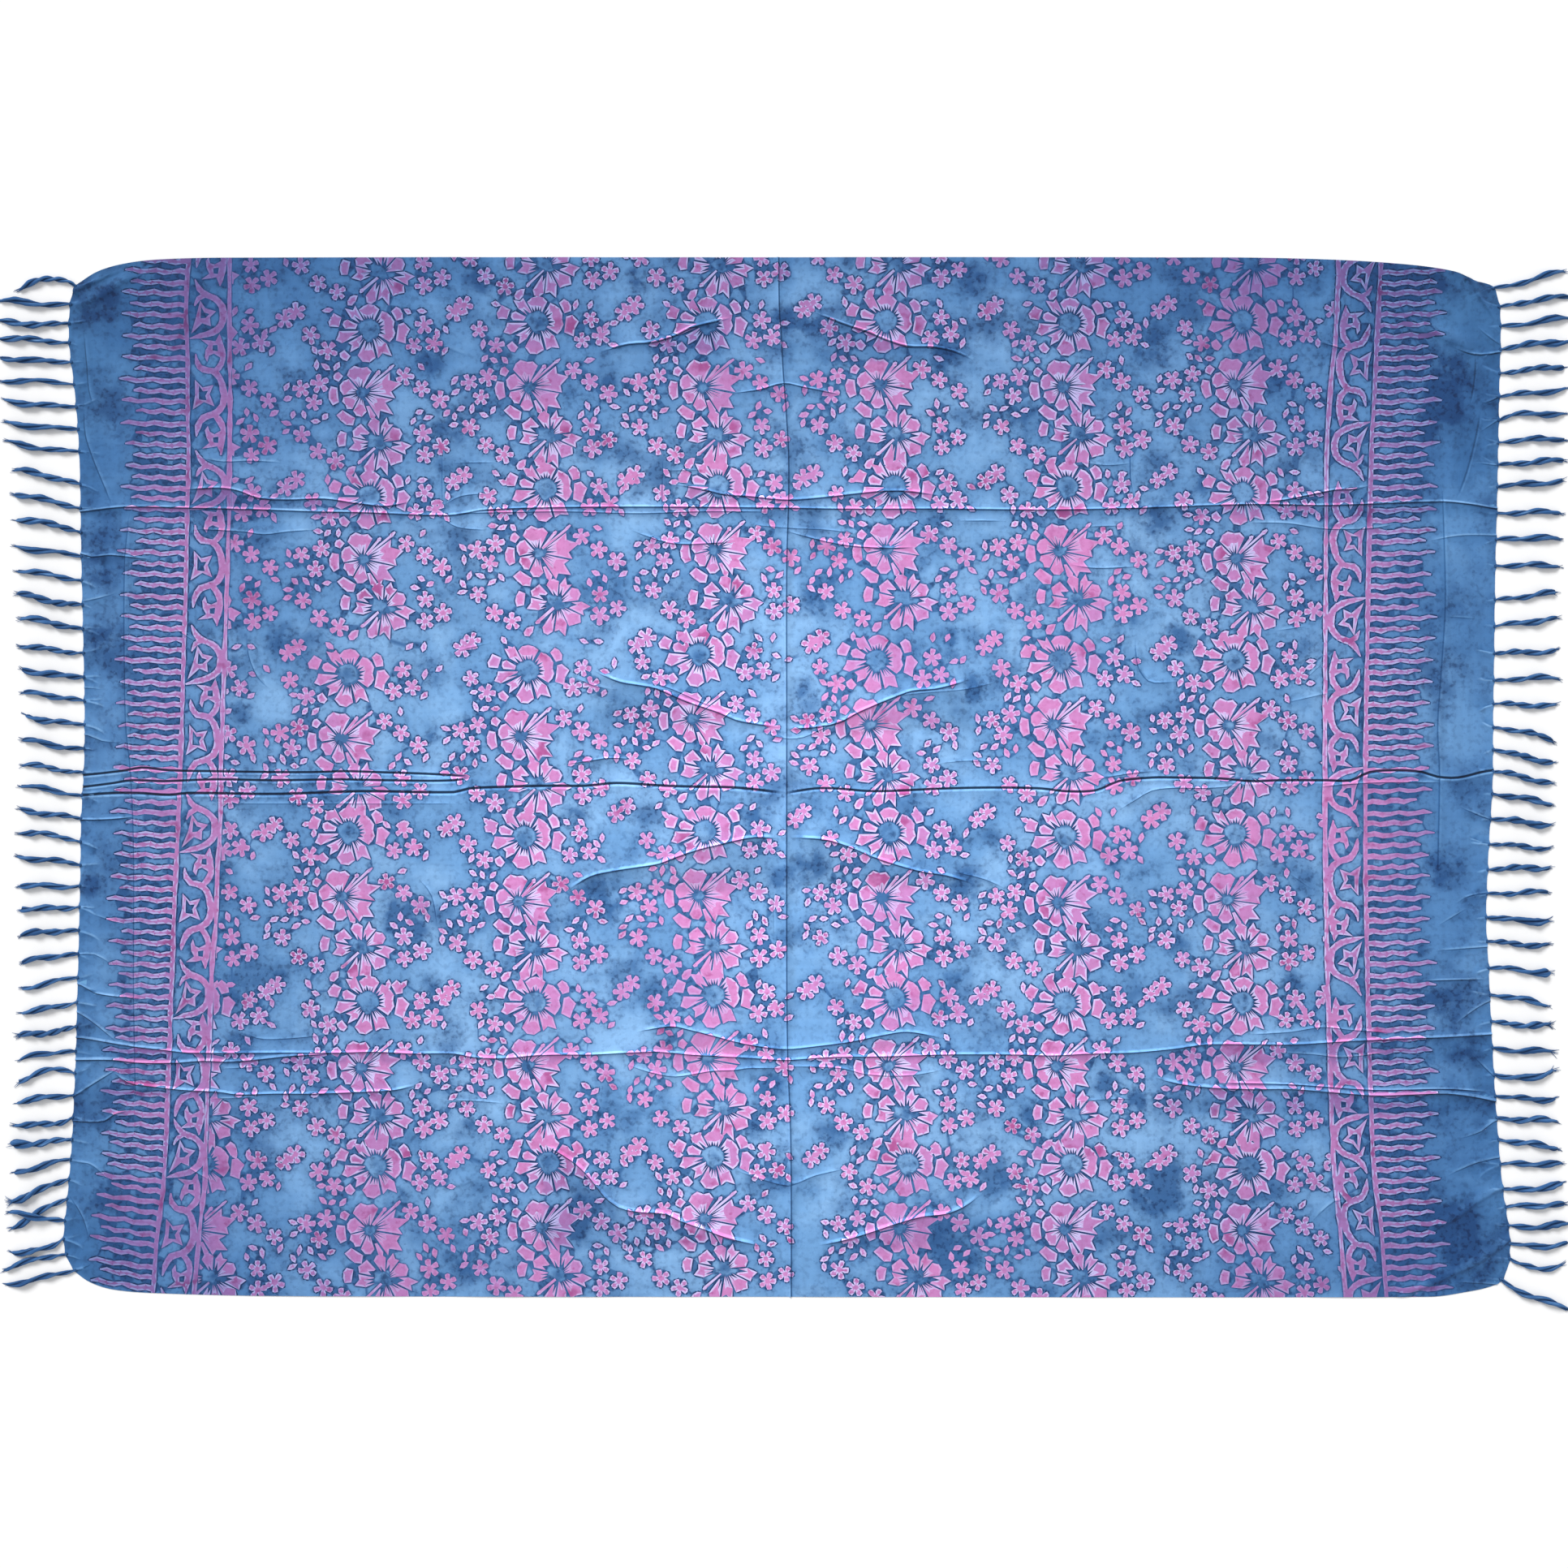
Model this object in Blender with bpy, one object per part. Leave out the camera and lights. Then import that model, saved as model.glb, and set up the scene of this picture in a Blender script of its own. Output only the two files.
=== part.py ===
"""A fringed sarong spread flat on a level surface.

One length of woven cloth lies face up. Its two long sides are selvedges, and at each end its warp
threads are knotted into a row of twisted cords. The creases left by folding and packing stand up
from the cloth, which touches the surface everywhere else.

Frame: +X along the cloth's length, +Y across its width, +Z up. The origin is the middle of the
whole outline, fringe included, on the surface below. Sizes and tables are in millimetres.
"""

import math
import random
from typing import NamedTuple

import bmesh
import bpy
import numpy as np
from mathutils import Vector
from mathutils.geometry import delaunay_2d_cdt

MM = 0.001

# Cloth wall
CLOTH_THICKNESS = 1.2
OUTLINE_STEP = 26.0

# Creases
CREASE_STEP = 30.0
CREASE_RUN_OUT = 30.0
CREASE_LINES = (-1.0, -0.5, 0.0, 0.5, 1.0)
CREASE_BLEND = 3.0
LEAST_RISE = 0.03

# Fringe strip, where the knots sit just outside the cloth's edge
SEAM_GAP = 0.35
STRIP_WIDTH = 2.6
STRIP_HEIGHT = 2.2
STRIP_OVERHANG = 4.0

# Fringe cords
CORD_RADIUS = 2.6
FLOOR_CLEARANCE = 0.4
CORD_ROOT_HEIGHT = 1.1
CORD_JITTER_SEED = 45
DRIFT_JITTER = 3.0
REACH_JITTER = 1.5
BOW_JITTER = 2.0
WAVE_SIZE = 0.9
CROSSING_PLACE = 0.62
CROSSING_SPREAD = 0.36

# Share of a cord's length, and its radius there as a share of CORD_RADIUS
CORD_PROFILE = (
    (0.00, 0.32),
    (0.12, 0.62),
    (0.34, 1.00),
    (0.62, 0.96),
    (0.88, 0.88),
    (1.00, 0.45),
)

# The cloth's outline, anticlockwise from its top left corner: x, y
OUTLINE = (
    (-771, 554), (-780, 545), (-785, 527), (-786, 487), (-780, 434), (-775, 366),
    (-773, 273), (-771, 175), (-769, 40), (-773, -40), (-774, -111), (-776, -191),
    (-779, -303), (-783, -392), (-788, -456), (-792, -500), (-788, -522), (-777, -538),
    (-763, -548), (-738, -556), (-690, -560), (-563, -563), (0, -564), (709, -564),
    (743, -560), (784, -550), (794, -537), (798, -520), (797, -490), (790, -444),
    (784, -372), (779, -289), (775, -205), (772, -146), (775, -70), (779, 0),
    (780, 80), (781, 157), (783, 270), (785, 360), (787, 450), (788, 504),
    (786, 530), (779, 547), (759, 554), (737, 564), (680, 572), (595, 577),
    (495, 579), (0, 579.3), (-595, 579), (-683, 577), (-722, 573), (-752, 565),
)


class Crease(NamedTuple):
    """One ridge: how high it stands, half its width, and the points that it runs through."""

    height: float
    half_width: float
    route: tuple


# The largest creases. The first four run from end to end or from side to side, where the cloth
# was folded in quarters. The rest lie in pairs about the middle, as the fold pressed them.
CREASES = (
    Crease(3.0, 7, ((-762, 301), (-726, 304), (-655, 304), (-518, 300), (-368, 298), (-245, 300),
                    (-92, 303), (178, 303), (388, 304), (513, 308), (597, 307), (722, 311), (772, 306))),
    Crease(3.2, 7, ((-763, -13), (-655, -10), (-559, -11), (-463, -8), (-346, -6), (-255, -2), (-184, 1),
                    (-97, -3), (-13, -10), (99, -8), (230, -4), (309, -8), (361, 0), (432, 7), (513, 4),
                    (597, 4), (645, 13), (702, 13), (741, 7), (771, 13))),
    Crease(3.2, 7, ((-768, -280), (-717, -288), (-655, -295), (-490, -295), (-363, -296), (-307, -300),
                    (-210, -297), (-139, -294), (-66, -299), (2, -303), (47, -300), (256, -297),
                    (382, -295), (466, -286), (558, -285), (649, -281), (768, -276))),
    Crease(2.4, 6, ((-7, 570), (-4, 494), (2, 389), (4, 311), (2, 77), (2, -191), (4, -334), (7, -556))),
    Crease(3.0, 6, ((-762, 10), (-723, 16), (-706, 19), (-627, 15), (-518, 14), (-482, 15), (-416, 13))),
    Crease(3.4, 6, ((-768, -308), (-709, -314), (-638, -313), (-546, -309))),
    Crease(3.6, 7, ((-734, -331), (-696, -342), (-600, -351), (-518, -350), (-428, -345), (-409, -341))),
    Crease(4.2, 8, ((416, -326), (480, -334), (558, -335), (649, -342), (728, -340), (770, -346))),
    Crease(4.0, 7, ((-200, 122), (-158, 109), (-116, 95), (-71, 79), (-30, 68))),
    Crease(3.6, 7, ((34, 65), (79, 78), (121, 96), (165, 105), (196, 114))),
    Crease(3.4, 7, ((-230, -112), (-187, -95), (-119, -80), (-71, -66), (-30, -59))),
    Crease(3.4, 7, ((26, -60), (73, -69), (126, -89), (178, -100), (199, -106))),
    Crease(4.4, 8, ((-234, -413), (-197, -453), (-181, -465), (-131, -472), (-88, -489), (-32, -505))),
    Crease(4.0, 7, ((47, -504), (99, -491), (152, -475), (196, -464), (209, -455))),
    Crease(3.6, 7, ((42, 516), (91, 498), (136, 482), (165, 481), (201, 470))),
    Crease(3.4, 7, ((-192, 479), (-145, 487), (-103, 502), (-66, 511))),
    Crease(3.0, 6, ((-655, 325), (-600, 324), (-578, 317), (-505, 317), (-436, 315))),
    Crease(3.0, 6, ((546, 323), (581, 326), (607, 330), (630, 331))),
    Crease(3.0, 7, ((-155, -268), (-124, -264), (-79, -272), (-30, -284))),
    Crease(2.8, 7, ((30, -284), (73, -277), (136, -268), (167, -272))),
    Crease(3.6, 16, ((670, 510), (715, 497), (765, 480))),
    Crease(3.2, 11, ((-768, 530), (-750, 539), (-729, 553), (-706, 562))),
    Crease(3.6, 10, ((690, -553), (715, -547), (755, -529), (782, -513))),
    Crease(3.2, 9, ((712, -490), (741, -474), (762, -458), (784, -445))),
)


class Station(NamedTuple):
    """One cord of a fringe: its number from the top, where its root is, and how its tip lies."""

    number: int
    root_y: float
    drift: float
    reach: float


# Cords between two stations are spaced evenly, with their drift and reach in proportion
LEFT_FRINGE = (
    Station(1, 547, -2, 62), Station(2, 528, 3, 76), Station(5, 464, 5, 77), Station(9, 366, 9, 77),
    Station(10, 330, 15, 71), Station(14, 224, 12, 70), Station(18, 118, 8, 67),
    Station(22, 13, 9, 66), Station(26, -89, 9, 68), Station(28, -135, -1, 63),
    Station(31, -213, -12, 60), Station(34, -294, -8, 60), Station(38, -391, -6, 64),
    Station(41, -457, -31, 60), Station(42, -480, 10, 60), Station(43, -500, -14, 56),
    Station(45, -535, -15, 75),
)
RIGHT_FRINGE = (
    Station(1, 546, 18, 77), Station(3, 504, 9, 74), Station(7, 400, 6, 71), Station(10, 327, 6, 71),
    Station(13, 240, 1, 68), Station(14, 203, 7, 65), Station(17, 114, 3, 70), Station(19, 62, -13, 65),
    Station(22, -11, -10, 65), Station(25, -94, 3, 67), Station(28, -173, -5, 67),
    Station(30, -232, -10, 62), Station(33, -319, 3, 64), Station(36, -391, -8, 64),
    Station(38, -445, 5, 66), Station(41, -505, -1, 63), Station(42, -522, -9, 56),
    Station(43, -545, -31, 73),
)

# Cords that don't lie like their neighbours, by number: how far the middle bows up the cloth,
# and how high it is carried over the cord that it crosses
LEFT_ODD_CORDS = {1: (9.0, 0.0), 35: (7.0, 0.0), 37: (-5.0, 0.0), 42: (0.0, 6.4), 43: (-6.0, 0.0)}
RIGHT_ODD_CORDS = {7: (5.0, 0.0), 33: (-5.0, 0.0), 42: (-5.0, 0.0), 43: (-4.0, 0.0)}

# Base colour, roughness and metallic of each piece
CLOTH_LOOK = ((0.13, 0.33, 0.62, 1.0), 0.82, 0.0)
FRINGE_LOOK = ((0.04, 0.14, 0.36, 1.0), 0.85, 0.0)


def smooth_line(points, step, closed=False):
    """Points about a step apart on a smooth curve through the given ones."""
    knots = [Vector(point) for point in points]
    count = len(knots)
    line = []
    for index in range(count if closed else count - 1):
        if closed:
            before, start, end, after = (knots[(index + shift) % count] for shift in (-1, 0, 1, 2))
        else:
            start, end = knots[index], knots[index + 1]
            before = knots[max(index - 1, 0)]
            after = knots[min(index + 2, count - 1)]
        chord = (end - start).length
        leave = (end - before).normalized() * chord
        arrive = (after - start).normalized() * chord
        pieces = max(1, round(chord / step))
        for piece in range(pieces):
            share = piece / pieces
            square, cube = share**2, share**3
            line.append(start * (2 * cube - 3 * square + 1) + leave * (cube - 2 * square + share)
                        + end * (3 * square - 2 * cube) + arrive * (cube - square))
    if not closed:
        line.append(knots[-1])
    return line


def offset_line(line, distance):
    """An open line moved sideways, to the left of its direction where the distance is positive."""
    moved = []
    for index, point in enumerate(line):
        along = line[min(index + 1, len(line) - 1)] - line[max(index - 1, 0)]
        sideways = Vector((-along.y, along.x)).normalized()
        moved.append(point + sideways * distance)
    return moved


def ease(share):
    """A share from 0 to 1 that starts and ends gently."""
    share = np.clip(share, 0.0, 1.0)
    return share * share * (3.0 - 2.0 * share)


def crease_rise(crease, places):
    """How far one crease lifts each place of the cloth."""
    route = np.array([tuple(point) for point in smooth_line(crease.route, CREASE_STEP / 4)])
    starts, runs = route[:-1], np.diff(route, axis=0)
    lengths = np.hypot(runs[:, 0], runs[:, 1])
    mileage = np.concatenate([[0.0], np.cumsum(lengths)])
    from_start = places[:, None, :] - starts[None, :, :]
    share = np.clip((from_start * runs).sum(axis=2) / lengths**2, 0.0, 1.0)
    apart = np.linalg.norm(from_start - share[:, :, None] * runs, axis=2)
    nearest = apart.argmin(axis=1)
    rows = np.arange(len(places))
    along = mileage[nearest] + share[rows, nearest] * lengths[nearest]
    across = np.minimum(apart[rows, nearest] / crease.half_width, 1.0)
    run_out = min(CREASE_RUN_OUT, mileage[-1] / 2)
    fade = ease(np.minimum(along, mileage[-1] - along) / run_out)
    return crease.height * fade * 0.5 * (1.0 + np.cos(math.pi * across))


def cloth_rise(places):
    """How far all the creases together lift each place of the cloth."""
    total = sum(crease_rise(crease, places) ** CREASE_BLEND for crease in CREASES)
    rise = total ** (1.0 / CREASE_BLEND)
    return np.where(rise < LEAST_RISE, 0.0, rise)


def new_object(name, mesh, look):
    """An object for a mesh, with its own material."""
    colour, roughness, metallic = look
    material = bpy.data.materials.new(name)
    material.use_nodes = True
    shader = material.node_tree.nodes["Principled BSDF"]
    shader.inputs["Base Color"].default_value = colour
    shader.inputs["Roughness"].default_value = roughness
    shader.inputs["Metallic"].default_value = metallic
    mesh.materials.append(material)
    thing = bpy.data.objects.new(name, mesh)
    bpy.context.collection.objects.link(thing)
    return thing


def thicken(surface, thickness):
    """Raise a surface's copy above it and close the sides between them."""
    raised = bmesh.ops.extrude_face_region(surface, geom=surface.faces[:])["geom"]
    corners = [item for item in raised if isinstance(item, bmesh.types.BMVert)]
    bmesh.ops.translate(surface, verts=corners, vec=(0.0, 0.0, thickness * MM))
    bmesh.ops.recalc_face_normals(surface, faces=surface.faces[:])


def make_cloth(outline):
    """The cloth: a wall inside the outline, with a line of points along each side of each crease."""
    points = list(outline)
    edges = []
    for crease in CREASES:
        ridge = smooth_line(crease.route, CREASE_STEP)
        for line in CREASE_LINES:
            first = len(points)
            points.extend(offset_line(ridge, line * crease.half_width))
            edges.extend((index, index + 1) for index in range(first, len(points) - 1))
    inside_only = 1
    flat, _, triangles, *_ = delaunay_2d_cdt(
        points, edges, [list(range(len(outline)))], inside_only, 1e-4)
    rise = cloth_rise(np.array([tuple(point) for point in flat]))
    surface = bmesh.new()
    corners = [surface.verts.new((point.x * MM, point.y * MM, float(height) * MM))
               for point, height in zip(flat, rise)]
    for triangle in triangles:
        surface.faces.new([corners[index] for index in triangle])
    thicken(surface, CLOTH_THICKNESS)
    mesh = bpy.data.meshes.new("cloth")
    surface.to_mesh(mesh)
    surface.free()
    mesh.shade_smooth()
    mesh.set_sharp_from_angle(angle=math.radians(40))
    return new_object("cloth", mesh, CLOTH_LOOK)


def edge_stretch(outline, side, low, high):
    """The stretch of an end's edge between two heights across the cloth, listed from the top down."""
    end = sorted((point for point in outline if point.x * side > 700), key=lambda point: point.y)
    heights = [point.y for point in end]
    reaches = [point.x for point in end]
    top, bottom = (Vector((float(np.interp(height, heights, reaches)), height)) for height in (high, low))
    between = [point for point in reversed(end) if low < point.y < high]
    return [top, *between, bottom]


def make_strip(name, edge, side):
    """The narrow strip of knots along one end, just outside the cloth's edge."""
    outward = SEAM_GAP * side
    inner = offset_line(edge, outward)
    outer = offset_line(edge, outward + STRIP_WIDTH * side)
    surface = bmesh.new()
    pairs = [(surface.verts.new((*(near * MM), 0.0)), surface.verts.new((*(far * MM), 0.0)))
             for near, far in zip(inner, outer)]
    for (near, far), (next_near, next_far) in zip(pairs, pairs[1:]):
        surface.faces.new((near, far, next_far, next_near))
    thicken(surface, STRIP_HEIGHT)
    mesh = bpy.data.meshes.new(name)
    surface.to_mesh(mesh)
    surface.free()
    mesh.shade_smooth()
    mesh.set_sharp_from_angle(angle=math.radians(40))
    return new_object(name, mesh, FRINGE_LOOK)


def cord_points(root, side, drift, reach, bow, lift, phase):
    """The points of one cord from its root to its tip, each with its radius."""
    points = []
    for share, thickness in CORD_PROFILE:
        radius = CORD_RADIUS * thickness
        wave = WAVE_SIZE * math.sin(2.0 * math.pi * share + phase) * share
        sideways = drift * share + bow * math.sin(math.pi * share**0.7) + wave
        over = lift * ease(1.0 - abs(share - CROSSING_PLACE) / CROSSING_SPREAD)
        height = max(CORD_ROOT_HEIGHT, radius + FLOOR_CLEARANCE) + over
        points.append((root.x + side * reach * share, root.y + sideways, height, radius))
    return points


def make_cords(name, edge, side, stations, odd_cords, jitter):
    """All the cords of one end, as one mesh of separate four-sided tubes."""
    curve = bpy.data.curves.new(name, "CURVE")
    curve.dimensions = "3D"
    curve.twist_mode = "Z_UP"
    curve.bevel_depth = MM
    curve.bevel_resolution = 0
    curve.use_fill_caps = True
    numbers = [station.number for station in stations]
    rows = [[getattr(station, column) for station in stations] for column in ("root_y", "drift", "reach")]
    edge_y = [point.y for point in reversed(edge)]
    edge_x = [point.x for point in reversed(edge)]
    for number in range(1, numbers[-1] + 1):
        root_y, drift, reach = (float(np.interp(number, numbers, row)) for row in rows)
        bow, lift = odd_cords.get(number, (jitter.uniform(-BOW_JITTER, BOW_JITTER), 0.0))
        if number not in odd_cords and number not in numbers:
            drift += jitter.uniform(-DRIFT_JITTER, DRIFT_JITTER)
            reach += jitter.uniform(-REACH_JITTER, REACH_JITTER)
        inset = SEAM_GAP + STRIP_WIDTH / 2
        root = Vector((float(np.interp(root_y, edge_y, edge_x)) + side * inset, root_y))
        phase = jitter.uniform(0.0, 2.0 * math.pi)
        points = cord_points(root, side, drift, reach - inset, bow, lift, phase)
        spline = curve.splines.new("POLY")
        spline.points.add(len(points) - 1)
        for knot, (x, y, z, radius) in zip(spline.points, points):
            knot.co = (x * MM, y * MM, z * MM, 1.0)
            knot.radius = radius
    guide = bpy.data.objects.new(name, curve)
    bpy.context.collection.objects.link(guide)
    mesh = bpy.data.meshes.new_from_object(guide.evaluated_get(bpy.context.evaluated_depsgraph_get()))
    bpy.data.objects.remove(guide)
    tubes = bmesh.new()
    tubes.from_mesh(mesh)
    bmesh.ops.remove_doubles(tubes, verts=tubes.verts[:], dist=0.01 * MM)
    bmesh.ops.recalc_face_normals(tubes, faces=tubes.faces[:])
    tubes.to_mesh(mesh)
    tubes.free()
    cords = bpy.data.objects.new(name, mesh)
    cords.hide_render = True
    cords.display_type = "WIRE"
    bpy.context.collection.objects.link(cords)
    return cords


def make_fringe(name, outline, side, stations, odd_cords, jitter):
    """One end's fringe: the strip of knots with every cord's root joined into it."""
    low = stations[-1].root_y - STRIP_OVERHANG
    high = stations[0].root_y + STRIP_OVERHANG
    edge = edge_stretch(outline, side, low, high)
    strip = make_strip(name, edge, side)
    cords = make_cords(name + "_cords", edge, side, stations, odd_cords, jitter)
    union = strip.modifiers.new("cords", "BOOLEAN")
    union.operation = "UNION"
    union.solver = "EXACT"
    union.object = cords
    return strip


def centre_on_origin(things):
    """Move everything so that the whole outline's middle is over the origin."""
    bpy.context.view_layer.update()
    graph = bpy.context.evaluated_depsgraph_get()
    places = []
    for thing in things:
        mesh = thing.evaluated_get(graph).to_mesh()
        places.extend(vertex.co.xy for vertex in mesh.vertices)
    middle = [(min(place[axis] for place in places) + max(place[axis] for place in places)) / 2
              for axis in range(2)]
    for thing in bpy.data.objects:
        thing.location = (-middle[0], -middle[1], 0.0)


def main():
    """Build the cloth and its two fringes."""
    for thing in list(bpy.data.objects):
        bpy.data.objects.remove(thing)
    jitter = random.Random(CORD_JITTER_SEED)
    outline = smooth_line(OUTLINE, OUTLINE_STEP, closed=True)
    cloth = make_cloth(outline)
    left = make_fringe("fringe_left", outline, -1, LEFT_FRINGE, LEFT_ODD_CORDS, jitter)
    right = make_fringe("fringe_right", outline, 1, RIGHT_FRINGE, RIGHT_ODD_CORDS, jitter)
    centre_on_origin((cloth, left, right))


main()
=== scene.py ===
"""Looks of a fringed batik sarong, spread flat and face up under a camera that looks straight down.

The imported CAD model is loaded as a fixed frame. The cloth and its two fringes are modelled over it in
millimetres, in the cloth's own frame (+X along its length, +Y across its width, +Z up), and are then
moved to the frame's place and turned to metres.
"""

from __future__ import annotations

import logging
import math
import random
from dataclasses import dataclass
from enum import Enum
from typing import Any, Iterator, Sequence

import bpy
import numpy as np
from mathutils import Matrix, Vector, noise
from mathutils.geometry import delaunay_2d_cdt
from mathutils.kdtree import KDTree


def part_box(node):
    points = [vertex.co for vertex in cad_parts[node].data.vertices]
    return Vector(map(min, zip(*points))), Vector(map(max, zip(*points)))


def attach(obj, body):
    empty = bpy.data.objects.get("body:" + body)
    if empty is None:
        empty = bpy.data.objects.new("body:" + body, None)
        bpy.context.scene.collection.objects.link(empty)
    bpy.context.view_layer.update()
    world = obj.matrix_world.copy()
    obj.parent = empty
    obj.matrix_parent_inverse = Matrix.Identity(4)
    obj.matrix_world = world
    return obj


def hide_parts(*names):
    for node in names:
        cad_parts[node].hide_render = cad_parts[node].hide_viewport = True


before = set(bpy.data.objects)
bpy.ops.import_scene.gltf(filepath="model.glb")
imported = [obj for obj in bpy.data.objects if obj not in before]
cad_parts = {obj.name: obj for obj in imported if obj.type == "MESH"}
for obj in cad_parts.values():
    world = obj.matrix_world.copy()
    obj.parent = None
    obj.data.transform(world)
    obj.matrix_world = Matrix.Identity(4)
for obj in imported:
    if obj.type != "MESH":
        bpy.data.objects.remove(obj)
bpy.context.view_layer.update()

MM = 0.001
Point = tuple[float, float]

# Lengths below this count as none, so that nothing is divided by 0
NO_LENGTH = 1e-6

# The step at which the model's own edge was drawn
MODEL_EDGE_STEP = 26.0

log = logging.getLogger("sarong")

# The cloth's outline, anticlockwise from its top left corner
OUTLINE: tuple[Point, ...] = (
    (-771, 554), (-780, 545), (-785, 527), (-786, 487), (-780, 434), (-775, 366),
    (-773, 273), (-771, 175), (-769, 40), (-773, -40), (-774, -111), (-776, -191),
    (-779, -303), (-783, -392), (-788, -456), (-792, -500), (-788, -522), (-777, -538),
    (-763, -548), (-738, -556), (-690, -560), (-563, -563), (0, -564), (709, -564),
    (743, -560), (784, -550), (794, -537), (798, -520), (797, -490), (790, -444),
    (784, -372), (779, -289), (775, -205), (772, -146), (775, -70), (779, 0),
    (780, 80), (781, 157), (783, 270), (785, 360), (787, 450), (788, 504),
    (786, 530), (779, 547), (759, 554), (737, 564), (680, 572), (595, 577),
    (495, 579), (0, 579.3), (-595, 579), (-683, 577), (-722, 573), (-752, 565),
)


class Fold(Enum):
    """How a crease stands: a pressed ridge, or a trough between two low shoulders."""

    RIDGE = "ridge"
    GROOVE = "groove"


@dataclass(frozen=True)
class Crease:
    """One crease of the cloth: its kind, height, the width of each flank, and the points it runs through.

    A crease with a flank of the soft width or more is a swell, not a pressed line, and gets little painted
    highlight and painted shade.
    """

    fold: Fold
    height: float
    left: float
    right: float
    route: tuple[Point, ...]
    run_out: float = 22.0

    SOFT_WIDTH = 5.0
    SOFT_PAINTED_LIGHT = 0.15
    FULL_PAINTED_LIGHT_HEIGHT = 2.0

    def painted_light_strength(self) -> float:
        """How strongly painted highlight and painted shade are laid along the crease, up to 1 for a groove or
        a high ridge.
        """
        if self.fold is Fold.GROOVE:
            return 1.0
        if max(self.left, self.right) >= self.SOFT_WIDTH:
            return self.SOFT_PAINTED_LIGHT
        return min(self.height / self.FULL_PAINTED_LIGHT_HEIGHT, 1.0)


def read_creases(table: str) -> tuple[Crease, ...]:
    """Read creases from a table.

    Args:
        table: Each crease's kind, height and the widths of its left and right flanks, seen along its route,
            then a colon, the x and y of each point on the route, and a semicolon.

    Returns:
        The creases.
    """
    creases = []
    for row in table.split(";")[:-1]:
        form, places = row.split(":")
        kind, *sizes = form.split()
        numbers = [float(number) for number in places.split()]
        route = tuple(zip(numbers[::2], numbers[1::2]))
        creases.append(Crease(Fold(kind), *map(float, sizes), route))
    return tuple(creases)
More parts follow.
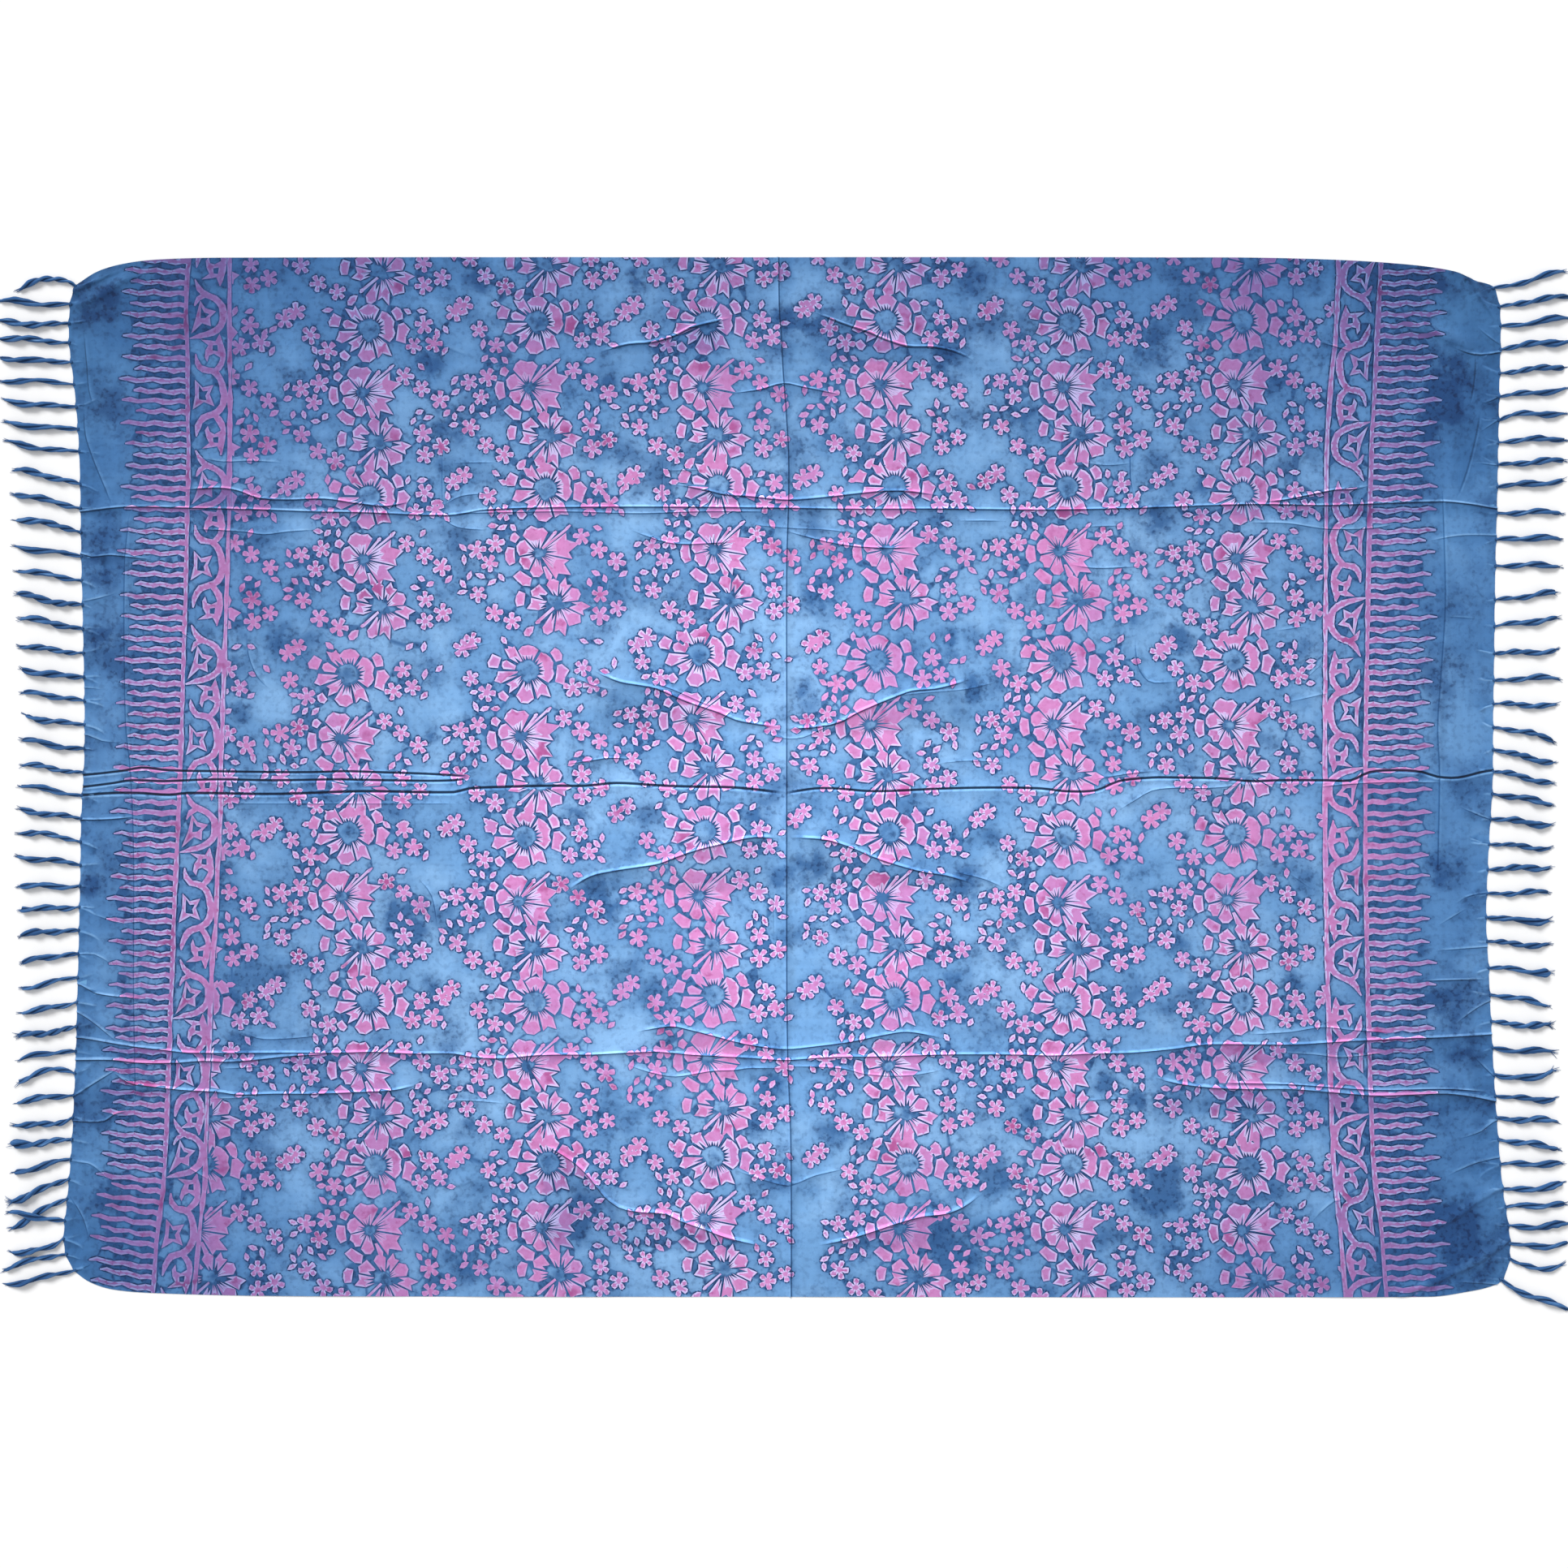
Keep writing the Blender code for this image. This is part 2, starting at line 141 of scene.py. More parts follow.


# Every crease that shows, listed one by one. The long ones are where the cloth was folded in quarters,
# and most of the short ones lie in pairs about the middle, as the folds pressed them.
CREASES = read_creases("""
ridge 2.2 2.5 1.8: -809 297 -771 300 -726 305 -655 304 -572 302 -518 300 -463 299 -368 296 -327 302 -223 305
  -92 305 4 304 54 303 178 303 289 302 388 304 513 308 597 307 722 311 755 308 778 304 825 298;
ridge 1.4 2 1.6: -366 298 -309 299 -245 300 -158 298 -92 300 -13 300;
ridge 1.3 1.8 1.6: 188 290 245 290;
ridge 2.4 2.6 1.8: -662 324 -622 326 -600 323 -578 315 -545 313 -505 314 -469 309 -436 306 -409 312;
ridge 1.4 2.2 1.6: -650 281 -595 278 -572 275 -546 278 -514 280;
ridge 1.8 2.2 1.6: -800 259 -771 253 -761 250 -742 252 -720 250 -693 247;
ridge 1.1 2.2 1.8: -782 199 -767 202 -753 205 -733 211;
ridge 1 2.2 1.8: -673 175 -655 162 -638 154;
ridge 1.3 2.2 2: -590 168 -588 142 -578 118 -564 104;
ridge 1 2 1.6: -791 106 -764 106 -747 104;
ridge 1.1 3 2.4: -719 298 -724 236 -723 71 -717 9 -714 -88 -714 -218 -712 -355;
ridge 2.4 6 4: -800 536 -778 544 -760 552 -742 560 -722 567;
ridge 3 12 8: -787 522 -772 529 -750 539 -729 553 -697 563;
ridge 1.3 3 2.5: -769 498 -765 457 -763 433 -757 411;
ridge 1.3 3 2.5: -769 416 -767 384 -758 356 -747 329 -738 307;
ridge 1.6 6 5: -414 501 -389 471 -384 452 -376 434;
ridge 1.2 5 4: -388 488 -365 479 -340 470;
ridge 1 2.2 1.8: -645 360 -616 355 -589 356 -550 354;
ridge 2.6 3 2.1: -202 476 -171 484 -145 486 -121 493 -103 502 -84 507 -59 513;
ridge 1.8 2 1.6: -59 430 -27 434 -1 441 21 437 66 428;
ridge 2.6 2.1 2.5: 33 520 65 507 92 498 113 489 136 482 165 481 188 476 209 467;
ridge 1 1.8 2: -375 367 -375 305;
ridge 1.1 1.8 2: -132 363 -133 303 -131 289;
ridge 1.4 1.8 2: 382 373 382 337 386 316;
ridge 1 2 1.6: -366 353 -340 354 -313 354;
ridge 1.3 2 1.6: -376 306 -355 317 -322 320;
ridge 1 2 1.6: -135 345 -86 346;
ridge 1.1 2 1.6: 325 355 356 351 386 354;
ridge 2.2 3.2 2.1: -120 330 -92 325 -66 319 -40 317 4 313 47 316 81 320 115 323 141 322 170 318;
ridge 1.3 2.2 1.8: -380 296 -359 283 -323 280;
ridge 1.6 2.4 1.8: -168 280 -145 271 -129 266 -105 264 -54 267;
ridge 1.1 2 1.6: -39 286 4 282 47 280 84 275;
ridge 1.6 2.4 1.8: -1 280 34 270 68 263 110 260 146 261;
ridge 1 2 1.6: 325 283 379 285;
ridge 2.2 5 4: 729 572 754 557 764 538 775 523 786 504;
ridge 1.1 2.2 2: 761 505 780 489 797 479;
ridge 3.4 14 10: 678 511 715 497 739 488 763 480;
ridge 1.8 2.5 2: 734 482 759 473 780 474 807 479;
ridge 1.4 2 2.6: 762 479 761 450 758 429 754 412;
ridge 1.4 2.2 2: 761 424 772 420 807 439;
ridge 1.3 2.2 3.2: 768 412 761 376 752 342 741 313;
ridge 1 2 1.6: 761 385 798 409;
ridge 1.3 2.2 1.8: 584 488 615 479 629 475;
ridge 2.1 2.6 1.8: 522 310 550 313 581 319 607 324 629 325 647 330;
ridge 1.1 2 1.6: 758 354 783 351 816 349;
ridge 1.3 2.2 1.6: 511 288 555 287 597 281 649 282 673 287;
ridge 1.1 2.2 1.6: 709 268 749 274 816 272;
ridge 2.9 3.3 2.2: -209 125 -181 113 -158 109 -139 105 -116 95 -95 87 -71 79 -53 71 -27 66 -5 63;
ridge 1.3 2.2 1.8: -234 120 -210 109 -184 104;
ridge 1.4 2.2 1.8: -152 114 -126 106 -103 96 -70 81;
ridge 2.6 3 2.1: 2 61 34 63 60 68 79 78 99 87 121 96 141 103 165 105 183 109 205 116;
ridge 1.1 2.1 1.6: 116 97 157 101 202 105 234 113;
ridge 1 2.1 1.6: -364 146 -321 156;
ridge 1.4 2 1.8: 314 242 343 238 391 240;
ridge 1.3 2.2 2.1: 387 162 390 130 401 114 414 112 434 114;
ridge 1 2.1 1.6: 539 169 577 174;
ridge 1 2.1 1.6: 548 89 605 102;
ridge 0.8 2 1.6: 570 113 596 137;
ridge 1.1 3 2.4: 725 327 728 240 728 188 723 109 720 62 722 14 720 -106;
ridge 0.8 2.1 1.6: 725 185 766 182;
ridge 1.3 2.1 1.8: -791 56 -765 54 -750 48 -729 46;
groove 1.4 4 4: -809 8 -768 10 -723 15 -706 18 -676 15 -627 14 -559 13 -518 13 -482 14 -449 13 -389 11 -340 8;
groove 1.4 4 4: -809 -6 -769 -3 -737 1 -717 4 -682 3 -627 5 -559 4 -490 5 -436 4 -363 4 -339 9;
groove 1.7 4.5 4.5: -809 -14 -769 -12 -737 -10 -709 -10 -676 -12 -655 -10 -559 -11 -463 -8 -363 -9 -346 -5
  -302 -3 -255 -2 -218 -2 -184 1 -131 -2 -97 -3 -53 -4 2 -10;
ridge 2.1 2.4 1.6: -805 -38 -765 -39 -737 -38 -709 -35;
ridge 0.8 2.2 1.8: -623 -21 -358 -21;
ridge 1.1 2.2 1.8: -763 -142 -739 -150 -720 -158;
ridge 1.1 2.1 1.8: -796 -186 -776 -187 -758 -187 -736 -200;
ridge 1.3 2.2 2.1: -403 -102 -387 -122 -380 -160;
ridge 1.8 2.2 1.6: -242 22 -213 26 -192 29 -166 28;
ridge 2.7 3.2 2.2: -238 -116 -213 -101 -187 -95 -161 -91 -137 -87 -119 -80 -92 -71 -71 -66 -50 -61 -32 -58
  -5 -59;
ridge 0.8 2 2.1: -11 -111 -10 -175;
ridge 1.3 2.2 1.8: -25 58 -1 51 21 52 52 66 79 75;
ridge 1.1 2 1.6: 168 23 204 26 245 24;
groove 1.6 4.2 4.2: -4 -11 34 -5 57 -5 99 -8 178 -5 230 -4 283 -5 309 -8 343 -7 368 3 405 7 432 7 480 6 513 3
  545 4 597 4 623 4 644 13 676 15 702 13 718 8 741 7 772 14 821 19;
ridge 1.3 2.2 1.6: 338 5 380 12 413 15;
ridge 1.4 2.2 1.6: 367 -29 388 -16 404 -7 427 -4 466 -4 505 -1;
ridge 1.3 2.2 1.6: 584 -3 649 2 727 2;
ridge 2.6 3 2.2: 7 -58 47 -61 73 -69 99 -80 126 -89 152 -96 178 -100 209 -109;
ridge 1.3 2.2 1.8: 182 -95 220 -104 245 -115;
ridge 1.3 2.1 1.8: 742 -24 775 -38 807 -48;
ridge 1.1 2.1 1.8: 737 -132 755 -122 807 -117;
ridge 1.3 2.1 1.8: 716 -183 767 -179 807 -177;
ridge 1 2.1 1.8: 720 -155 752 -135;
ridge 0.8 2.1 1.8: 552 -95 582 -116;
ridge 1.8 2.4 1.8: -796 -214 -772 -221 -755 -230 -702 -236;
ridge 1.6 2.4 1.8: -796 -245 -776 -251 -755 -265 -733 -284;
ridge 2.6 2.6 1.8: -814 -277 -772 -279 -747 -283 -717 -288 -682 -292 -655 -295 -546 -295 -490 -295 -449 -294
  -409 -296 -363 -296 -341 -300 -307 -301 -276 -298 -245 -297 -210 -297 -171 -295 -139 -294 -103 -297
  -66 -299 -32 -301 2 -303 47 -300 113 -299 178 -297 256 -297 296 -298 335 -296 382 -295 427 -291 466 -286
  558 -286 610 -283 649 -281 689 -279 723 -278 775 -275 825 -271;
ridge 2.7 3.2 2: -818 -303 -778 -303 -739 -303 -709 -306 -668 -306 -638 -304 -613 -305 -583 -303 -546 -299
  -497 -296;
ridge 1.6 2.5 2: -793 -350 -778 -341 -758 -328 -730 -311;
ridge 2.7 2.6 1.8: -739 -316 -720 -328 -696 -332 -660 -336 -622 -338 -600 -341 -559 -340 -518 -340 -463 -338
  -428 -336 -402 -330;
ridge 1.1 2.2 1.6: -634 -346 -576 -344;
ridge 1.8 2.4 1.8: -798 -369 -780 -370 -764 -371 -747 -370 -737 -363 -718 -358;
ridge 1.3 2.2 1.6: -599 -272 -572 -280 -505 -276;
ridge 1 2.1 1.6: -623 -313 -565 -310;
ridge 1.1 2.2 1.6: -664 -416 -629 -437;
ridge 1.1 2.2 1.8: -788 -416 -764 -417 -743 -434;
ridge 1.3 2.5 2.1: -786 -450 -770 -477 -763 -504;
ridge 1.6 2.4 1.8: -173 -308 -145 -317 -119 -321 -79 -315 -53 -314 -40 -312 2 -312;
ridge 2.4 3 2.1: -163 -272 -124 -266 -103 -270 -79 -276 -53 -283 -27 -288 2 -291 34 -288 73 -283 107 -276
  136 -272 175 -279;
ridge 1.3 2.2 1.6: -374 -348 -341 -348 -305 -351;
ridge 1.1 2.1 1.6: -371 -308 -321 -316;
ridge 3.4 3.4 2.2: -263 -396 -234 -413 -218 -427 -207 -440 -197 -453 -181 -465 -158 -470 -131 -472 -113 -480
  -87 -489 -66 -497 -23 -508;
ridge 1.3 2.4 2: -53 -424 -21 -435 4 -441 15 -438 34 -430 70 -422;
ridge 1.2 5 4: -371 -446 -334 -432;
ridge 1.8 1.8 2.1: 7 -602 7 -443 6 -374 3 -296 2 -191 2 77 2 238 4 311 4 363 1 415 -2 455 -4 494 -6 521
  -7 613;
ridge 1.4 2.2 1.6: -1 -310 47 -311 68 -313 92 -319 138 -320 175 -314;
ridge 3.2 3.2 2.2: 38 -507 73 -499 99 -491 126 -482 152 -475 178 -472 196 -465 216 -451;
ridge 1.1 2.1 1.6: 320 -349 362 -346 389 -346;
ridge 1.4 2.4 1.6: 511 -275 558 -272 592 -267 623 -270 670 -273;
ridge 1.3 2.2 1.6: 546 -295 584 -297 610 -300 637 -298 667 -294;
ridge 3.2 3.3 2: 409 -323 440 -330 480 -334 519 -335 558 -335 597 -338 649 -342 689 -341 728 -340 755 -343
  780 -348 825 -359;
ridge 1.9 2.2 1.6: 479 -328 558 -330 649 -336 728 -335 774 -338;
ridge 1.6 1.8 2: 697 -216 774 -214;
ridge 1.3 2.2 1.8: 737 -264 770 -241 807 -229;
ridge 1.3 2.2 1.8: 755 -295 780 -320 798 -334;
ridge 1.4 2.2 1.8: 742 -390 767 -381 780 -371 816 -361;
ridge 2.6 8 6: 711 -490 741 -474 762 -458 789 -443 816 -430;
ridge 1.3 2.5 2.1: 729 -430 764 -415 816 -405;
ridge 3.2 8 6: 669 -566 715 -547 736 -537 755 -529 780 -513 812 -490;
ridge 1.1 2.2 1.8: 736 -547 783 -550 816 -557;
ridge 1 3 2.5: 580 -480 605 -458 622 -456;
""")


@dataclass(frozen=True)
class Station:
    """One cord of a fringe: its number from the top, where its root is, and how its tip lies."""

    number: int
    root_y: float
    drift: float
    reach: float


def stations(*rows: tuple[float, float, float, float]) -> tuple[Station, ...]:
    """The stations of a fringe from rows of number, root height, drift and reach."""
    return tuple(Station(*row) for row in rows)


# Cords between two stations are spaced evenly, with their drift and reach in proportion
LEFT_FRINGE = stations(
    (1, 547, -2, 62), (2, 528, 3, 76), (5, 464, 5, 77), (9, 366, 9, 77), (10, 330, 15, 71), (14, 224, 12, 70),
    (18, 118, 8, 67), (22, 13, 9, 66), (26, -89, 9, 68), (28, -135, -1, 63), (31, -213, -12, 60),
    (34, -294, -8, 60), (38, -391, -6, 64), (41, -457, -31, 60), (42, -480, 10, 60), (43, -500, -14, 56),
    (45, -535, -15, 75),
)
RIGHT_FRINGE = stations(
    (1, 546, 18, 77), (3, 504, 9, 74), (7, 400, 6, 71), (10, 327, 6, 71), (13, 240, 1, 68), (14, 203, 7, 65),
    (17, 114, 3, 70), (19, 62, -13, 65), (22, -11, -10, 65), (25, -94, 3, 67), (28, -173, -5, 67),
    (30, -232, -10, 62), (33, -319, 3, 64), (36, -391, -8, 64), (38, -445, 5, 66), (41, -505, -1, 63),
    (42, -522, -9, 56), (43, -545, -31, 73),
)

# Cords that don't lie like their neighbours, by number: how far the middle bows up the cloth,
# and how high it is carried over the cord that it crosses
LEFT_ODD_CORDS = {1: (9.0, 0.0), 35: (7.0, 0.0), 37: (-5.0, 0.0), 42: (0.0, 6.4), 43: (-6.0, 0.0)}
RIGHT_ODD_CORDS = {7: (5.0, 0.0), 33: (-5.0, 0.0), 42: (-5.0, 0.0), 43: (-4.0, 0.0)}

# Where the printer set each large blossom, column by column from the left and from the top down
BLOSSOM_COLUMNS: tuple[tuple[Point, ...], ...] = (
    ((-465, 430), (-463, 247), (-488, 51), (-486, -125), (-466, -311), (-458, -489)),
    ((-280, 437), (-271, 253), (-290, 54), (-293, -129), (-282, -311), (-269, -487)),
    ((-92, 437), (-79, 257), (-101, 71), (-95, -124), (-87, -303), (-87, -479)),
    ((104, 439), (113, 257), (94, 65), (107, -124), (113, -308), (127, -489)),
    ((305, 437), (303, 255), (295, 65), (300, -129), (300, -311), (308, -489)),
    ((495, 439), (495, 249), (487, 65), (487, -127), (495, -311), (504, -492)),
)

# Clouds of darker dye: x, y, radius
CLOUDS: tuple[tuple[float, float, float], ...] = (
    (-389, 466, 22), (-368, 395, 29), (-313, 466, 18), (-538, 313, 13), (-555, 158, 24), (-395, 125, 24),
    (-747, 238, 31), (-747, 157, 31), (-598, 81, 18), (-532, 213, 20), (-197, 445, 18), (-125, 213, 16),
    (-384, 54, 13), (-230, 269, 14), (-335, 555, 22), (-158, 555, 22), (-757, 530, 40), (-4, 511, 20),
    (33, 511, 25), (181, 466, 34), (270, 395, 29), (545, 445, 27), (726, 455, 40), (731, 406, 36),
    (407, 290, 29), (462, 334, 20), (33, 197, 25), (55, 224, 20), (181, 153, 24), (214, 104, 24),
    (28, 104, 20), (435, 158, 24), (275, 290, 16), (380, 180, 14), (726, 555, 29), (407, 483, 34),
    (209, 555, 29), (-422, -143, 27), (-412, -160, 23), (-203, -127, 38), (-230, -33, 20), (-38, -33, 29),
    (-4, -110, 23), (-621, -94, 20), (-389, -231, 23), (-605, -237, 20), (-555, -214, 16), (-15, -330, 23),
    (-32, -374, 23), (-346, -380, 20), (-428, -456, 20), (-219, -462, 29), (-230, -495, 23), (-351, -528, 29),
    (-577, -545, 16), (-758, -110, 22), (-742, -456, 34), (-598, -286, 23), (198, -110, 29), (264, -110, 23),
    (369, -82, 23), (33, -88, 23), (430, -171, 23), (247, -187, 23), (187, -220, 20), (352, -324, 20),
    (385, -352, 23), (275, -363, 23), (423, -430, 38), (407, -456, 29), (171, -501, 34), (193, -522, 29),
    (82, -512, 20), (435, -522, 29), (726, -94, 29), (731, -237, 29), (748, -292, 27), (731, -479, 38),
    (688, -456, 29), (754, -522, 38), (473, -220, 20), (440, -308, 23), (55, -385, 23), (181, -413, 20),
    (561, -220, 18), (237, -435, 20), (-687, 395, 25), (660, 323, 25),
)


def smooth_line(points: Sequence[Point], step: float, closed: bool = False) -> list[Vector]:
    """Points about a step apart on a smooth curve through the given ones.

    Args:
        points: The places that the curve runs through.
        step: The distance from point to point, in millimetres.
        closed: Whether the curve comes back to its start.

    Returns:
        The curve's points. A closed curve doesn't repeat its first one.
    """
    knots = [Vector(point) for point in points]
    count = len(knots)
    line = []
    for index in range(count if closed else count - 1):
        if closed:
            before, start, end, after = (knots[(index + shift) % count] for shift in (-1, 0, 1, 2))
        else:
            start, end = knots[index], knots[index + 1]
            before = knots[max(index - 1, 0)]
            after = knots[min(index + 2, count - 1)]
        chord = (end - start).length
        leave = (end - before).normalized() * chord
        arrive = (after - start).normalized() * chord
        pieces = max(1, round(chord / step))
        for piece in range(pieces):
            share = piece / pieces
            square, cube = share**2, share**3
            line.append(start * (2 * cube - 3 * square + 1) + leave * (cube - 2 * square + share)
                        + end * (3 * square - 2 * cube) + arrive * (cube - square))
    if not closed:
        line.append(knots[-1])
    return line


def offset_line(line: Sequence[Vector], distance: float) -> list[Vector]:
    """An open line moved sideways, to the left of its direction where the distance is positive."""
    moved = []
    for index, point in enumerate(line):
        along = line[min(index + 1, len(line) - 1)] - line[max(index - 1, 0)]
        sideways = Vector((-along.y, along.x)).normalized()
        moved.append(point + sideways * distance)
    return moved


def ease(share: Any) -> Any:
    """A share from 0 to 1 that starts and ends gently."""
    share = np.clip(share, 0.0, 1.0)
    return share * share * (3.0 - 2.0 * share)


def as_array(points: Sequence[Any]) -> np.ndarray:
    """Points as an array with a row for each."""
    return np.array([tuple(point) for point in points], dtype=float)


def signed_area(ring: Sequence[Point]) -> float:
    """The area inside a ring of points, positive where it runs anticlockwise."""
    places = as_array(ring)
    following = np.roll(places, -1, axis=0)
    return float((places[:, 0] * following[:, 1] - following[:, 0] * places[:, 1]).sum() / 2)


def spaced_samples(ring: Sequence[Point], step: float) -> list[Point]:
    """Places along a closed ring's sides, no more than a step apart."""
    samples = []
    for (x, y), (next_x, next_y) in zip(ring, [*ring[1:], ring[0]]):
        pieces = max(1, math.ceil(math.hypot(next_x - x, next_y - y) / step))
        samples.extend((x + (next_x - x) * piece / pieces, y + (next_y - y) * piece / pieces)
                       for piece in range(pieces))
    return samples


def tapered(line: Sequence[Vector], widths: Sequence[float]) -> list[Point]:
    """The outline of a band along an open line, with its own width at each point."""
    left, right = [], []
    for index, (point, width) in enumerate(zip(line, widths)):
        along = line[min(index + 1, len(line) - 1)] - line[max(index - 1, 0)]
        sideways = Vector((-along.y, along.x)).normalized() * (width / 2)
        left.append(tuple(point + sideways))
        right.append(tuple(point - sideways))
    return [*left, *reversed(right)]


# Where a groove's shoulders stand and where its full painted shade ends, as shares of its half width
SHOULDER_PLACE = 0.45
PAINTED_SHADE_PLACE = 0.22


@dataclass(frozen=True)
class CreaseProfile:
    """A crease's section and its painted light, at shares of a flank's width from its middle, 0, to its foot,
    1.

    What describes the painted light are shares too: how much painted highlight and how much painted shade a
    place gets.
    """

    ridge_power: float = 1.35
    painted_highlight_places: tuple[float, ...] = (0.0, 0.55, 1.0)
    painted_highlight_shares: tuple[float, ...] = (1.0, 0.8, 0.0)
    painted_highlight_past_crest: float = 0.25
    painted_shade_places: tuple[float, ...] = (0.0, 0.3, 0.8, 1.0)
    painted_shade_shares: tuple[float, ...] = (0.0, 1.0, 1.0, 0.2)
    groove_floor: float = 0.15
    groove_painted_highlight_left: float = 0.4
    groove_painted_highlight_right: float = 1.5
    groove_painted_highlight_place: float = 0.1
    groove_painted_highlight_reach: float = 0.35

    def ridge(self, across: np.ndarray, on_left: np.ndarray) -> tuple[np.ndarray, np.ndarray, np.ndarray]:
        """A ridge: a painted highlight on its left flank and just over its crest, and painted shade on its
        right flank.

        Args:
            across: How far across its flank each place is.
            on_left: Whether each place is on the left flank.

        Returns:
            The share of its height, of painted highlight and of painted shade at each place.
        """
        section = (1.0 - across) ** self.ridge_power
        pale = np.where(on_left, np.interp(across, self.painted_highlight_places, self.painted_highlight_shares),
                        np.maximum(1.0 - across / self.painted_highlight_past_crest, 0.0))
        dark = np.where(on_left, 0.0, np.interp(across, self.painted_shade_places, self.painted_shade_shares))
        return section, pale, dark

    def groove(self, across: np.ndarray, on_left: np.ndarray) -> tuple[np.ndarray, np.ndarray, np.ndarray]:
        """A groove: painted shade along its middle, and a painted highlight outside its shoulders.

        Args:
            across: How far across its flank each place is.
            on_left: Whether each place is on the left flank.

        Returns:
            The share of its height, of painted highlight and of painted shade at each place.
        """
        inside = ease(np.minimum(across / SHOULDER_PLACE, 1.0))
        section = self.groove_floor + (1.0 - self.groove_floor) * inside
        section *= 1.0 - ease((across - SHOULDER_PLACE) / (1.0 - SHOULDER_PLACE))
        apart = abs(across - SHOULDER_PLACE - self.groove_painted_highlight_place)
        pale = np.where(on_left, self.groove_painted_highlight_left, self.groove_painted_highlight_right)
        pale = pale * np.maximum(1.0 - apart / self.groove_painted_highlight_reach, 0.0)
        dark = np.interp(across, (PAINTED_SHADE_PLACE, SHOULDER_PLACE), (1.0, 0.0))
        return section, pale, dark


CREASE_PROFILE = CreaseProfile()

# How finely a crease's route is followed, and how pale a crest that runs across the cloth still gets: the
# light falls from above, so such a crest catches less of it
ROUTE_STEP = 8.0
CROSSWISE_PALE = 0.15


def crease_effect(crease: Crease, places: np.ndarray) -> np.ndarray:
    """How far one crease lifts each place of the cloth, and the painted highlight and painted shade that it
    lays there.

    Args:
        crease: The crease.
        places: A row of x and y for each place, in millimetres.

    Returns:
        A row for each place: its rise, its painted highlight, and its painted shade.
    """
    route = as_array(smooth_line(crease.route, ROUTE_STEP))
    widest = max(crease.left, crease.right)
    low, high = route.min(axis=0) - widest, route.max(axis=0) + widest
    near = np.flatnonzero(((places >= low) & (places <= high)).all(axis=1))
    effect = np.zeros((len(places), 3))
    if not len(near):
        return effect
    starts, runs = route[:-1], np.diff(route, axis=0)
    lengths = np.hypot(runs[:, 0], runs[:, 1])
    mileage = np.concatenate([[0.0], np.cumsum(lengths)])
    from_start = places[near][:, None, :] - starts[None, :, :]
    share = np.clip((from_start * runs).sum(axis=2) / lengths**2, 0.0, 1.0)
    gap = from_start - share[:, :, None] * runs
    apart = np.hypot(gap[:, :, 0], gap[:, :, 1])
    nearest = apart.argmin(axis=1)
    rows = np.arange(len(near))
    run = runs[nearest]
    offset = gap[rows, nearest]
    on_left = run[:, 0] * offset[:, 1] - run[:, 1] * offset[:, 0] > 0.0
    across = np.minimum(apart[rows, nearest] / np.where(on_left, crease.left, crease.right), 1.0)
    profile = CREASE_PROFILE.ridge if crease.fold is Fold.RIDGE else CREASE_PROFILE.groove
    # pale is a painted highlight on the flank towards the light, and dark is painted shade on the other flank
    section, pale, dark = profile(across, on_left)
    pale *= CROSSWISE_PALE + (1.0 - CROSSWISE_PALE) * abs(run[:, 0]) / lengths[nearest]
    along = mileage[nearest] + share[rows, nearest] * lengths[nearest]
    run_out = min(crease.run_out, mileage[-1] / 2)
    fade = ease(np.minimum(along, mileage[-1] - along) / run_out)
    strength = crease.painted_light_strength()
    full = np.column_stack([crease.height * section, strength * pale, strength * dark])
    effect[near] = full * fade[:, None]
    return effect


def new_piece(name: str, corners: np.ndarray, faces: Sequence[Sequence[int]]) -> bpy.types.Object:
    """An object in the scene for a mesh given in millimetres.

    Args:
        name: The piece's name.
        corners: A row of x, y and z for each corner, in the frame's place.
        faces: The corners of each face, anticlockwise from outside.

    Returns:
        The object, at the origin, with smooth faces.
    """
    mesh = bpy.data.meshes.new(name)
    mesh.from_pydata((corners * MM).tolist(), [], faces)
    mesh.update()
    mesh.shade_smooth()
    piece = bpy.data.objects.new(name, mesh)
    bpy.context.collection.objects.link(piece)
    return piece


def store(mesh: bpy.types.Mesh, name: str, values: np.ndarray, domain: str = "POINT") -> None:
    """Keep a number or a vector for each point, or each face's corner, for a material to read."""
    kind, field_name = ("FLOAT", "value") if values.ndim == 1 else ("FLOAT_VECTOR", "vector")
    layer = mesh.attributes.new(name, kind, domain)
    layer.data.foreach_set(field_name, values.astype(np.float32).ravel())


class Form(Enum):
    """The printer's loose stamps, each in a box one unit wide and high, pointing to the right."""

    BAR = ((-.5, .28), (.3, .34), (.38, .5), (.5, .24), (.5, -.24), (.38, -.5), (.3, -.34), (-.5, -.28))
    DROP = ((-.5, -.04), (-.12, .4), (.28, .5), (.5, .1), (.38, -.32), (.0, -.5), (-.3, -.34))
    BUD = ((-.5, .0), (-.14, .44), (.2, .34), (.5, -.02), (.14, -.42), (-.2, -.36))


@dataclass(frozen=True)
class Stamp:
    """One loose shape of a motif: its form and middle, where it points in degrees, its length and width."""

    form: Form
    x: float
    y: float
    angle: float
    length: float
    width: float

    def outline(self, _: random.Random) -> list[Point]:
        """The shape's points about its motif's middle.

        Args:
            _: Not used. The source of chance, which a petal needs. A motif holds both, and a stamp is always
                the same.

        Returns:
            A closed ring of points.
        """
        own = math.radians(self.angle)
        ring = []
        for along, across in self.form.value:
            reach, spread = along * self.length, across * self.width
            ring.append((self.x + reach * math.cos(own) - spread * math.sin(own),
                         self.y + reach * math.sin(own) + spread * math.cos(own)))
        return ring


class Rim(Enum):
    """How a petal's outer edge is cut: round, with one notch, or in ragged points."""

    ROUND = "round"
    NOTCHED = "notched"
    RAGGED = "ragged"


